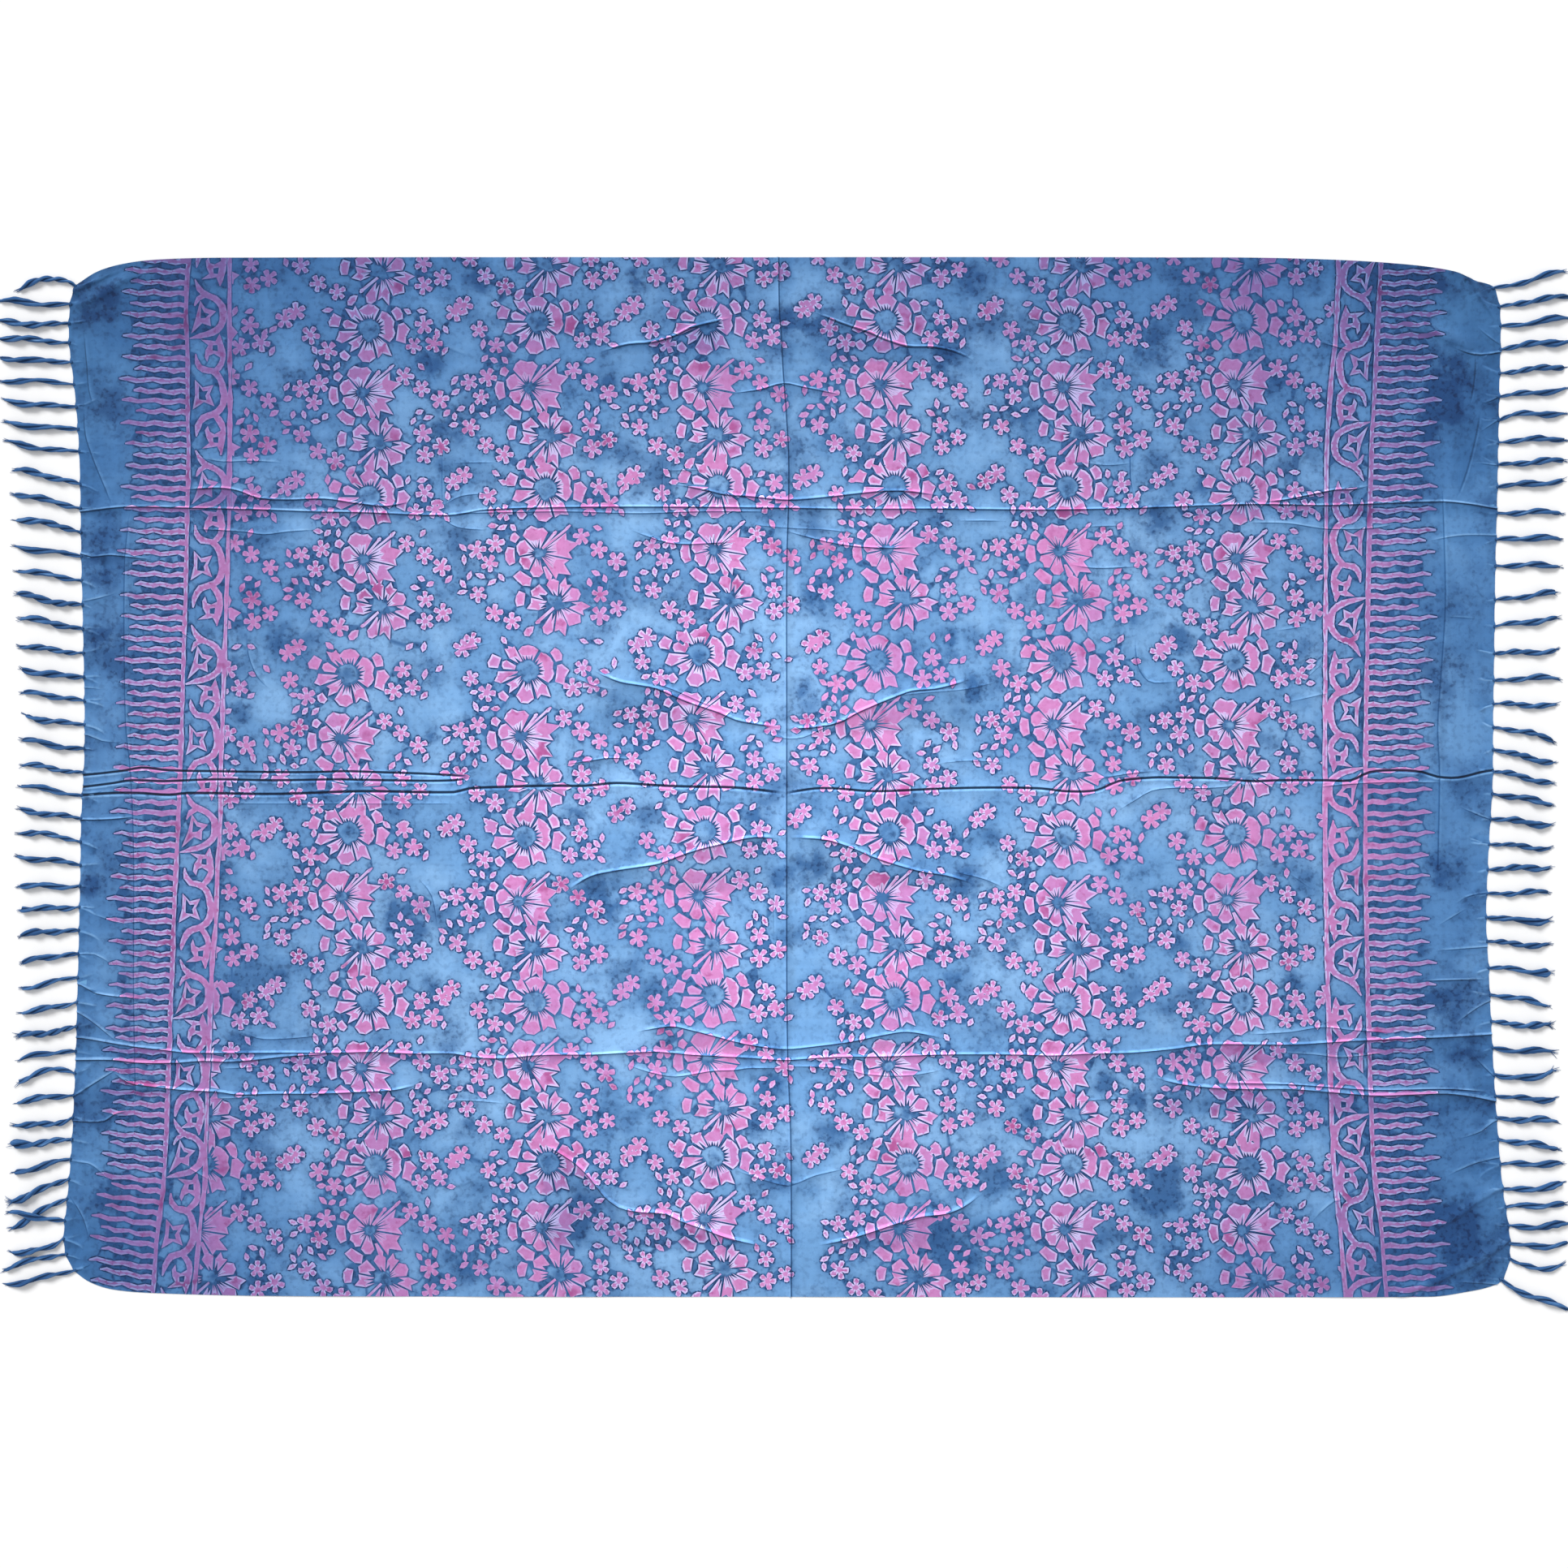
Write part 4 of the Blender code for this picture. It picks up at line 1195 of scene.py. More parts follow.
    def crease_lines(self, crease: Crease, step: float, plain: bool) -> list[list[Vector]]:
        """The lines along a crease that its form needs: its feet, its top and its flanks.

        Args:
            crease: The crease.
            step: The distance between a line's points.
            plain: Whether a ridge's feet and top are enough.

        Returns:
            The points of each line, from the right foot to the left one.
        """
        pucker = crease.run_out <= self.PUCKER_RUN_OUT
        if crease.fold is Fold.GROOVE:
            shares = (-1.0, -SHOULDER_PLACE, -PAINTED_SHADE_PLACE, 0.0, PAINTED_SHADE_PLACE, SHOULDER_PLACE, 1.0)
        elif plain or (pucker and crease.height < self.tall_crease):
            shares = (-1.0, 0.0, 1.0)
        elif crease.height < self.tall_crease:
            shares = (-1.0, -0.5, 0.0, 1.0)
        else:
            shares = (-1.0, -0.5, 0.0, 0.5, 1.0)
        middle = smooth_line(crease.route, min(step, self.pucker_step) if pucker else step)
        return [offset_line(middle, share * (crease.left if share > 0 else crease.right)) for share in shares]

    def top_sheet(self, outline: list[Point]) -> tuple[np.ndarray, np.ndarray, np.ndarray]:
        """Triangles over the whole cloth that follow every printed shape and every crease.

        Args:
            outline: The cloth's edge.

        Returns:
            The places of the corners, the triangles, and 1 for each triangle that is printed.
        """
        points: list[Point] = list(outline)
        edges = []
        for ring in self.ink.inked + self.ink.bare:
            first = len(points)
            points.extend(ring)
            edges.extend((first + index, first + (index + 1) % len(ring)) for index in range(len(ring)))
        log.info("cloth: %d points in the print", len(points))
        ridges = []
        for crease in self.creases:
            for line in self.crease_lines(crease, self.crease_step, False):
                edges.extend((len(points) + index, len(points) + index + 1) for index in range(len(line) - 1))
                points.extend((point.x, point.y) for point in line)
                ridges.extend((point.x, point.y) for point in line)
        log.info("cloth: %d points with the creases", len(points))
        points.extend(self.grid(self.tree(ridges)))
        log.info("cloth: %d points in all", len(points))
        inside_only = 1
        flat, _, triangles, _, _, sources = delaunay_2d_cdt(
            [Vector(point) for point in points], edges, [list(range(len(outline)))], inside_only,
            self.merge_distance)
        faces = np.array([triangle for triangle, source in zip(triangles, sources) if source])
        used, packed = np.unique(faces, return_inverse=True)
        places, faces = as_array(flat)[used], packed.reshape(faces.shape)
        log.info("cloth: %d triangles on top", len(faces))
        return places, faces, self.inked_faces(places[faces].mean(axis=1))

    def inked_faces(self, middles: np.ndarray) -> np.ndarray:
        """1 for each triangle whose middle is inside an inked shape and outside every bare one."""
        order = np.argsort(middles[:, 0])
        ranked = middles[order]
        inks = np.zeros(len(middles), dtype=np.int32)
        for ink, rings in ((1, self.ink.inked), (0, self.ink.bare)):
            for ring in rings:
                corners = as_array(ring)
                low, high = corners.min(axis=0), corners.max(axis=0)
                first, last = np.searchsorted(ranked[:, 0], (low[0], high[0]))
                heights = ranked[first:last, 1]
                near = first + np.flatnonzero((heights > low[1]) & (heights < high[1]))
                x, y = ranked[near, 0], ranked[near, 1]
                inside = np.zeros(len(near), dtype=bool)
                for (start_x, start_y), (end_x, end_y) in zip(corners, np.roll(corners, -1, axis=0)):
                    spans = (start_y > y) != (end_y > y)
                    if start_y != end_y:
                        crossing = start_x + (y - start_y) * (end_x - start_x) / (end_y - start_y)
                        inside ^= spans & (x < crossing)
                inks[order[near[inside]]] = ink
        return inks

    def rim_distances(self, mesh: bpy.types.Mesh, places: np.ndarray, faces: np.ndarray,
                      inks: np.ndarray) -> np.ndarray:
        """How far each corner of each triangle is from those of its sides where the dye changes.

        The three numbers of a corner belong to the triangle's three sides. The shader reads them in between,
        which gives the true distance to each side, so that it can draw thin lines along the print's edges.

        Args:
            mesh: The cloth's mesh, whose first faces are the triangles.
            places: The x and y of each corner point.
            faces: The corner points of each triangle.
            inks: 1 for each printed triangle, 0 for the others.

        Returns:
            Three distances for each face corner of the mesh, in millimetres.
        """
        sides = np.stack([faces[:, [1, 2]], faces[:, [2, 0]], faces[:, [0, 1]]], axis=1)
        keys = np.sort(sides, axis=2).reshape(-1, 2) @ np.array([len(places), 1])
        _, group = np.unique(keys, return_inverse=True)
        group = group.ravel()
        owners = np.bincount(group)
        printed = np.bincount(group, weights=np.repeat(inks, 3))
        changes = ((owners == 2) & (printed == 1))[group].reshape(-1, 3)
        spans = places[sides[:, :, 1]] - places[sides[:, :, 0]]
        lengths = np.maximum(np.hypot(spans[:, :, 0], spans[:, :, 1]), NO_LENGTH)
        areas = abs(spans[:, 0, 0] * spans[:, 1, 1] - spans[:, 0, 1] * spans[:, 1, 0])
        heights = areas[:, None] / lengths
        loops = np.zeros(len(mesh.loops), dtype=np.int32)
        mesh.loops.foreach_get("vertex_index", loops)
        corners = loops[:3 * len(faces)].reshape(-1, 3)
        rims = np.full((len(mesh.loops), 3), self.far_from_print)
        for side in range(3):
            apart = np.where(corners == faces[:, side, None], heights[:, side, None], 0.0)
            rims[:3 * len(faces), side] = np.where(changes[:, side, None], apart, self.far_from_print).ravel()
        return rims

    def grid(self, ridges: KDTree) -> list[Point]:
        """Places between the printed shapes, closer together near them."""
        places = []
        for step, nearest, farthest in ((self.close_grid, self.print_gap, self.close_reach),
                                        (self.wide_grid, self.close_reach, math.inf)):
            for x, y in Grid(step, (-800, -580), 1610, 1180, 0.87, 0.2).places(self.draw):
                gap = self.print_edges.find((x, y, 0.0))[2]
                if nearest <= gap < farthest and ridges.find((x, y, 0.0))[2] > self.crease_gap:
                    places.append((x, y))
        return places

    @staticmethod
    def rim_loop(faces: np.ndarray) -> list[int]:
        """The corners round the edge of a sheet of triangles, anticlockwise."""
        sides = np.vstack([faces[:, [0, 1]], faces[:, [1, 2]], faces[:, [2, 0]]])
        known = set(map(tuple, sides.tolist()))
        following = {a: b for a, b in known if (b, a) not in known}
        start = next(iter(following))
        loop = [start]
        while following[loop[-1]] != start:
            loop.append(following[loop[-1]])
        if len(loop) != len(following):
            raise RuntimeError("the cloth's rim is not one loop")
        return loop

    def under_sheet(self, rim: np.ndarray) -> tuple[np.ndarray, np.ndarray]:
        """Coarser triangles for the underside, with the same rim and the same creases.

        Args:
            rim: The places round the edge.

        Returns:
            The places of the corners, the rim's first, and the triangles.
        """
        edge = self.tree([tuple(place) for place in rim])

        def clear(x: float, y: float, box: Point, margin: float) -> bool:
            """Whether a place is in a box about the cloth's middle and clear of the cloth's edge."""
            in_box = abs(x) < box[0] and abs(y - self.middle_height) < box[1]
            return in_box and edge.find((x, y, 0.0))[2] > margin

        points: list[Point] = [tuple(place) for place in rim]
        edges = []
        ridges = [(0.0, 0.0)]
        for crease in CREASES:
            for line in self.crease_lines(crease, self.under_crease_step, True):
                inside = [clear(*point, self.under_crease_box, self.under_crease_margin) for point in line]
                for index, point in enumerate(line):
                    if not inside[index]:
                        continue
                    if index and inside[index - 1]:
                        edges.append((len(points) - 1, len(points)))
                    points.append((point.x, point.y))
                    ridges.append((point.x, point.y))
        near_ridges = self.tree(ridges)
        for x, y in Grid(self.under_grid, (-790, -570), 1600, 1180).places(self.draw):
            if (clear(x, y, self.under_grid_box, self.under_grid_margin)
                    and near_ridges.find((x, y, 0.0))[2] > self.under_crease_gap):
                points.append((x, y))
        inside_only = 1
        flat, _, triangles, sources, _, _ = delaunay_2d_cdt(
            [Vector(point) for point in points], edges, [list(range(len(rim)))], inside_only,
            self.merge_distance)
        order = {}
        for index, origins in enumerate(sources):
            for origin in origins:
                if origin < len(rim):
                    order[origin] = index
        if len(order) != len(rim):
            raise RuntimeError("the underside lost a corner of the rim")
        ranked = [order[index] for index in range(len(rim))]
        rest = sorted(set(range(len(flat))) - set(ranked))
        rank = {old: new for new, old in enumerate([*ranked, *rest])}
        faces = np.array([[rank[corner] for corner in triangle] for triangle in triangles])
        log.info("cloth: %d triangles underneath", len(faces))
        return as_array(flat)[[*ranked, *rest]], faces

    def effects(self, places: np.ndarray) -> tuple[np.ndarray, np.ndarray]:
        """What the creases and the cloth's slack do to each place.

        Args:
            places: A row of x and y for each place.

        Returns:
            How far each place is lifted, and how much the painted highlight lightens or the painted shade
            darkens its colour, where 1 is neither.
        """
        total = np.zeros(len(places))
        painted_highlight, painted_shade = np.zeros(len(places)), np.zeros(len(places))
        for crease in self.creases:
            effect = crease_effect(crease, places)
            total += effect[:, 0] ** self.blend
            painted_highlight = np.maximum(painted_highlight, effect[:, 1])
            painted_shade = np.maximum(painted_shade, effect[:, 2])
        length, width = self.slack_size
        waves = [noise.noise(Vector((x / length, y / width, self.slack_seed))) for x, y in places]
        slack = np.array([max(0.0, wave + self.slack_share) for wave in waves])
        rise = total ** (1.0 / self.blend) + self.slack_height * slack
        return rise, (1.0 + self.painted_highlight_gain * painted_highlight) * (1.0 - self.painted_shade_loss * painted_shade)

    def painted_light_falloff(self, places: np.ndarray) -> np.ndarray:
        """Painted light falloff over the cloth: lightest in the middle, darker towards the ends and the top.
        """
        return np.interp(places[:, 0], *self.PAINTED_LIGHT_ALONG) * np.interp(places[:, 1], *self.PAINTED_LIGHT_ACROSS)

    def distance_to_print(self, places: np.ndarray) -> np.ndarray:
        """How far each place is from the nearest edge of the print."""
        gaps = [self.print_edges.find((x, y, 0.0))[2] for x, y in places]
        return np.minimum(np.array(gaps), self.far_from_print)

    def dye_pools(self, places: np.ndarray) -> np.ndarray:
        """How much darker dye has pooled at each place, from 0 to about 1."""
        total = np.zeros(len(places))
        for strength, clouds in ((1.0, CLOUDS), (self.heart_strength, self.ink.hearts)):
            for x, y, radius in clouds:
                reach = radius * self.pool_reach
                near = np.flatnonzero((abs(places[:, 0] - x) < reach) & (abs(places[:, 1] - y) < reach))
                apart = np.hypot(places[near, 0] - x, places[near, 1] - y)
                total[near] += strength * np.exp(-(apart / (radius * self.pool_width)) ** 2)
        return np.minimum(total, self.most_pooled)


class TipStyle(Enum):
    """How a cord ends: share of its full thickness at the tip, number of loose threads and their spread."""

    PLAIN = (0.62, 6, 0.35)
    POINTED = (0.22, 4, 0.15)
    ROUND = (0.95, 4, 0.5)
    FLUFFY = (0.7, 12, 0.9)
    KNOB = (1.05, 5, 0.6)
    FORKED = (0.6, 8, 0.8)


LEFT_TIPS = {12: TipStyle.POINTED, 20: TipStyle.POINTED, 28: TipStyle.ROUND, 32: TipStyle.POINTED,
             33: TipStyle.FLUFFY, 35: TipStyle.ROUND, 36: TipStyle.POINTED, 38: TipStyle.KNOB,
             39: TipStyle.POINTED, 40: TipStyle.FLUFFY}
RIGHT_TIPS = {5: TipStyle.POINTED, 14: TipStyle.ROUND, 29: TipStyle.KNOB, 31: TipStyle.FLUFFY,
              32: TipStyle.FORKED, 33: TipStyle.FORKED, 38: TipStyle.POINTED}


@dataclass(frozen=True)
class Cord:
    """One cord of a fringe, from its root to its tip."""

    root: Point
    side: int
    drift: float
    reach: float
    bow: float
    lift: float
    phase: float
    tip: TipStyle


def directions(middles: np.ndarray) -> tuple[np.ndarray, np.ndarray]:
    """The directions that a tube's rings are drawn in.

    Args:
        middles: The middle of each ring.

    Returns:
        For each ring, the level direction across the tube, and the one that points up from it.
    """
    runs = np.gradient(middles, axis=0)
    runs /= np.linalg.norm(runs, axis=1)[:, None]
    across = np.cross(runs, np.array([0.0, 0.0, 1.0]))
    across /= np.maximum(np.linalg.norm(across, axis=1), NO_LENGTH)[:, None]
    return across, np.cross(across, runs)


@dataclass
class Fringe:
    """The row of two-ply cords that the warp threads of one end are twisted into.

    Lengths are in millimetres. A share runs along a cord, from 0 at its root to 1 at its tip.
    """

    name: str
    side: int
    marks: tuple[Station, ...]
    odd_cords: dict[int, tuple[float, float]]
    tips: dict[int, TipStyle]
    shift: Vector
    rings: int = 38
    ply_sides: int = 9
    root_height: float = 1.1
    floor_gap: float = 0.3
    seam_gap: float = 0.35
    strip_width: float = 2.6

    BOW_JITTER = 2.0
    DRIFT_JITTER = 3.0
    REACH_JITTER = 1.5
    PLUMPNESS = (0.88, 1.14)
    RADIUS_SHARES = (-0.045, 0.0, 0.06, 0.22, 0.5, 0.8, 0.95, 1.0)
    RADII = (1.1, 1.7, 2.3, 3.2, 3.6, 3.9)
    LATE_RADIUS = 3.8
    LATE_SHARE = 0.75
    TIP_RADIUS = 3.3
    KNOB_SWELL = 0.35
    KNOB_SHARE = 0.93
    KNOB_REACH = 0.05
    LUMP_SWELL = 0.22
    LUMPS = 9.0
    LUMP_CHANGE = 0.13
    WAVE = 2.1
    WAVE_TURNS = 2.3
    BEND_POWER = 0.7
    CROSSING_SHARE = 0.62
    CROSSING_REACH = 0.36
    TWISTS = (0.8, 1.9)
    TWIST_AT_ROOT = 1.25
    TWIST_LOST = 0.25
    PLY_SWING = 0.44
    PLY_RADIUS = 0.57
    PLY_RIBS = 0.06
    RIBS_ROUND = 3.0
    PLY_LAY = 3.0
    LAY_SCALE = 0.02
    # Painted shade between the plies: where it starts inside a ply and over what span it grows, and its level
    # on a single thread
    PLY_SHADE_START = 0.12
    PLY_SHADE_SPAN = 0.5
    THREAD_PAINTED_SHADE = 0.15
    NECK_TURNS = 2.0
    NECK_RINGS = 17
    NECK_PLACES = (0.6, 2.6)
    NECK_REACH = 0.95
    NECK_FLATNESS = 0.9
    NECK_LOWEST = 0.65
    NECK_THREAD = 0.55
    NECK_SIDES = 5
    LOOSE_LENGTHS = (3.0, 7.5)
    LOOSE_OFFSET = 0.6
    LOOSE_SPREAD = 0.5
    LOOSE_INSIDE = 3.0
    LOOSE_EXTRA = 2.0
    LOOSE_BEND = 1.6
    LOOSE_DROP = 0.8
    LOOSE_LOWEST = 0.5
    LOOSE_RADII = (0.62, 0.16)
    LOOSE_RINGS = 4
    LOOSE_SIDES = 4

    def lay_out(self, jitter: random.Random) -> list[Cord]:
        """Where each cord lies, drawn in the same order as the model's own.

        Args:
            jitter: The source of chance that both fringes share.

        Returns:
            The cords from the top down.
        """
        model_edge = smooth_line(OUTLINE, MODEL_EDGE_STEP, closed=True)
        edge = sorted((point for point in model_edge if point.x * self.side > END_PLACE),
                      key=lambda point: point.y)
        heights, places = [point.y for point in edge], [point.x for point in edge]
        numbers = [mark.number for mark in self.marks]
        rows = [[getattr(mark, column) for mark in self.marks] for column in ("root_y", "drift", "reach")]
        inset = self.seam_gap + self.strip_width / 2
        cords = []
        for number in range(1, numbers[-1] + 1):
            root_y, drift, reach = (float(np.interp(number, numbers, row)) for row in rows)
            bow, lift = self.odd_cords.get(number, (jitter.uniform(-self.BOW_JITTER, self.BOW_JITTER), 0.0))
            if number not in self.odd_cords and number not in numbers:
                drift += jitter.uniform(-self.DRIFT_JITTER, self.DRIFT_JITTER)
                reach += jitter.uniform(-self.REACH_JITTER, self.REACH_JITTER)
            root = (float(np.interp(root_y, heights, places)) + self.side * inset, root_y)
            phase = jitter.uniform(0.0, 2.0 * math.pi)
            tip = self.tips.get(number, TipStyle.PLAIN)
            cords.append(Cord(root, self.side, drift, reach - inset, bow, lift, phase, tip))
        return cords

    def build(self, cords: Sequence[Cord], draw: random.Random) -> bpy.types.Object:
        """Make the fringe's mesh and dress it.

        Args:
            cords: The cords, from the top down.
            draw: The source of chance for how each is twisted.

        Returns:
            The finished piece.
        """
        self.corners: list[np.ndarray] = []
        self.faces: list[tuple[int, ...]] = []
        self.lays: list[np.ndarray] = []
        self.painted_ply_shades: list[np.ndarray] = []
        self.count = 0
        for cord in cords:
            self.twist(cord, draw)
        corners = np.vstack(self.corners) + np.array([self.shift.x, self.shift.y, 0.0])
        piece = new_piece(self.name, corners, self.faces)
        store(piece.data, "lay", np.vstack(self.lays))
        # painted shade between the plies, kept for the material
        store(piece.data, "groove", np.concatenate(self.painted_ply_shades))
        piece.data.materials.append(CORD_DYE.material())
        return piece

    def route(self, cord: Cord, shares: np.ndarray, radii: np.ndarray) -> np.ndarray:
        """Places along the middle of a cord."""
        late = np.maximum(shares, 0.0) ** self.BEND_POWER
        wave = self.WAVE * np.sin(self.WAVE_TURNS * math.pi * shares + cord.phase) * late
        sideways = cord.drift * shares + cord.bow * np.sin(math.pi * late) + wave
        over = cord.lift * ease(1.0 - np.abs(shares - self.CROSSING_SHARE) / self.CROSSING_REACH)
        height = np.maximum(self.root_height, radii + self.floor_gap) + over
        outward = cord.root[0] + cord.side * cord.reach * shares
        return np.column_stack([outward, cord.root[1] + sideways, height])

    def add_tube(self, middles: np.ndarray, radii: np.ndarray, sides: int, ribs: float, lay_start: float,
                 axis: np.ndarray | None = None, full: np.ndarray | None = None) -> None:
        """Add one closed tube.

        Args:
            middles: The middle of each ring.
            radii: The radius of each ring.
            sides: The corners round each ring.
            ribs: How deep the threads' ribs are, as a share of the radius.
            lay_start: A number that sets this tube's streaks apart from the others'.
            axis: The middle of the whole cord at each ring, where this tube is a ply of it.
            full: The radius of the whole cord at each ring.
        """
        across, upward = directions(middles)
        turns = np.arange(sides) * 2.0 * math.pi / sides
        ribbed = 1.0 + ribs * np.cos(turns * self.RIBS_ROUND)
        cosines, sines = np.cos(turns) * ribbed, np.sin(turns) * ribbed
        ring = across[:, None, :] * cosines[None, :, None] + upward[:, None, :] * sines[None, :, None]
        corners = middles[:, None, :] + ring * radii[:, None, None]
        mileage = np.concatenate([[0.0], np.cumsum(np.linalg.norm(np.diff(middles, axis=0), axis=1))])
        lay = np.stack(np.broadcast_arrays(
            np.cos(turns)[None, :] + lay_start, np.sin(turns)[None, :] + lay_start,
            mileage[:, None] * self.LAY_SCALE), axis=-1)
        # painted shade, deepest where a ply faces the other one, and light on a single thread
        if axis is None:
            groove = np.full(corners.shape[:2], self.THREAD_PAINTED_SHADE)
        else:
            groove = 1.0 - np.linalg.norm(corners - axis[:, None, :], axis=2) / full[:, None]
            groove = ease((groove - self.PLY_SHADE_START) / self.PLY_SHADE_SPAN)
        rings = len(middles)
        base = self.count
        for ring_index in range(rings - 1):
            for side in range(sides):
                here, there = base + ring_index * sides, base + (ring_index + 1) * sides
                following = (side + 1) % sides
                self.faces.append((here + side, there + side, there + following, here + following))
        self.faces.append(tuple(base + side for side in range(sides)))
        self.faces.append(tuple(base + (rings - 1) * sides + side for side in reversed(range(sides))))
        self.corners.append(corners.reshape(-1, 3))
        self.lays.append(lay.reshape(-1, 3))
        self.painted_ply_shades.append(groove.ravel())
        self.count += rings * sides

    def thickness(self, cord: Cord, shares: np.ndarray, plump: float) -> np.ndarray:
        """How thick a cord is: narrow at its neck, plump towards its tip, and lumpy."""
        end_share = cord.tip.value[0]
        radii = (*self.RADII, self.LATE_RADIUS * max(end_share, self.LATE_SHARE), self.TIP_RADIUS * end_share)
        full = plump * np.interp(shares, self.RADIUS_SHARES, radii)
        if cord.tip is TipStyle.KNOB:
            full *= 1.0 + self.KNOB_SWELL * np.exp(-((shares - self.KNOB_SHARE) / self.KNOB_REACH) ** 2)
        change = cord.root[1] * self.LUMP_CHANGE
        lumps = np.array([noise.noise(Vector((share * self.LUMPS, change, cord.side))) for share in shares])
        return full * (1.0 + self.LUMP_SWELL * lumps)

    def twist(self, cord: Cord, draw: random.Random) -> None:
        """Twist one cord from two plies, bind its neck and leave loose threads at its tip."""
        shares = np.linspace(self.RADIUS_SHARES[0], 1.0, self.rings)
        full = self.thickness(cord, shares, draw.uniform(*self.PLUMPNESS))
        middle = self.route(cord, shares, full)
        twists = draw.uniform(*self.TWISTS)
        unwinding = self.TWIST_AT_ROOT * shares - self.TWIST_LOST * shares**2
        angle = cord.phase + 2.0 * math.pi * twists * unwinding
        across, upward = directions(middle)
        for ply in range(2):
            own = angle + math.pi * ply
            aside = across * np.cos(own)[:, None] + upward * np.sin(own)[:, None]
            self.add_tube(middle + aside * (full * self.PLY_SWING)[:, None], full * self.PLY_RADIUS,
                          self.ply_sides, self.PLY_RIBS, self.PLY_LAY * ply + cord.phase, middle, full)
        self.bind_neck(cord, middle, full)
        self.loose_threads(cord, middle, full[-1], draw)

    def bind_neck(self, cord: Cord, middle: np.ndarray, full: np.ndarray) -> None:
        """The knot at the root: a thread wound twice round the neck."""
        steps = np.linspace(0.0, self.NECK_TURNS, self.NECK_RINGS)
        along = np.interp(steps, (0.0, self.NECK_TURNS), self.NECK_PLACES)
        run = middle[2] - middle[0]
        run /= np.linalg.norm(run)
        upward = np.array([0.0, 0.0, 1.0])
        across = np.cross(run, upward)
        reach = float(full[1]) * self.NECK_REACH
        turns = steps * 2.0 * math.pi + cord.phase
        places = (middle[0] + run * along[:, None] + across * (np.cos(turns) * reach)[:, None]
                  + upward * (np.sin(turns) * reach * self.NECK_FLATNESS)[:, None])
        places[:, 2] = np.maximum(places[:, 2], self.NECK_LOWEST)
        self.add_tube(places, np.full(len(steps), self.NECK_THREAD), self.NECK_SIDES, 0.0, cord.phase)

    def loose_threads(self, cord: Cord, middle: np.ndarray, radius: float, draw: random.Random) -> None:
        """The threads' cut ends, which fan out a little past the tip."""
        _, count, spread = cord.tip.value
        before, tip = middle[-3], middle[-1]
        run = (tip - before) * np.array([1.0, 1.0, 0.0])
        run /= np.linalg.norm(run)
        sideways = np.array([-run[1], run[0], 0.0])
        steps = np.linspace(0.0, 1.0, self.LOOSE_RINGS)
        for index in range(count):
            lean = draw.uniform(-spread, spread)
            length = draw.uniform(*self.LOOSE_LENGTHS) * (1.0 + spread * self.LOOSE_SPREAD)
            offset = draw.uniform(-self.LOOSE_OFFSET, self.LOOSE_OFFSET) * radius
            places = (tip - run * self.LOOSE_INSIDE + sideways * offset
                      + run * (steps * (length + self.LOOSE_EXTRA))[:, None]
                      + sideways * (lean * length * steps**self.LOOSE_BEND)[:, None])
            drop = (tip[2] - self.LOOSE_LOWEST) * steps[:, None] * np.array([0.0, 0.0, -self.LOOSE_DROP])
            radii = np.interp(steps, (0.0, 1.0), self.LOOSE_RADII)
            self.add_tube(places + drop, radii, self.LOOSE_SIDES, 0.0, index + cord.phase)


def linear(hex_colour: str) -> tuple[float, float, float, float]:
    """An sRGB hex colour as linear red, green, blue and alpha."""
    shares = [int(hex_colour[start:start + 2], 16) / 255 for start in (1, 3, 5)]
    curved = [share / 12.92 if share <= 0.04045 else ((share + 0.055) / 1.055) ** 2.4 for share in shares]
    return (*curved, 1.0)


def add_node(tree: bpy.types.NodeTree, kind: str, settings: dict[str, Any] | None = None,
             inputs: dict[Any, Any] | None = None) -> bpy.types.Node:
    """Add a node with its settings, and set or link its inputs.

    Args:
        tree: The material's node tree.
        kind: The node's type.
        settings: Values of the node's own properties.
        inputs: A value or another node's output for each input, by its name or place.

    Returns:
        The node.
    """
    node = tree.nodes.new(kind)
    for name, value in (settings or {}).items():
        setattr(node, name, value)
    for key, value in (inputs or {}).items():
        if isinstance(value, bpy.types.NodeSocket):
            tree.links.new(value, node.inputs[key])
        else:
            node.inputs[key].default_value = value
    return node


@dataclass(frozen=True)
class Levels:
    """Two levels of a value, and the shares that it gently turns into at the one and at the other."""

    low: float
    high: float
    start: float = 0.0
    end: float = 1.0


@dataclass(frozen=True)
class Mottle:
    """A pattern of noise: its patches' size in millimetres, its detail and seed, and its levels."""

    size: float
    detail: float
    seed: float
    levels: Levels


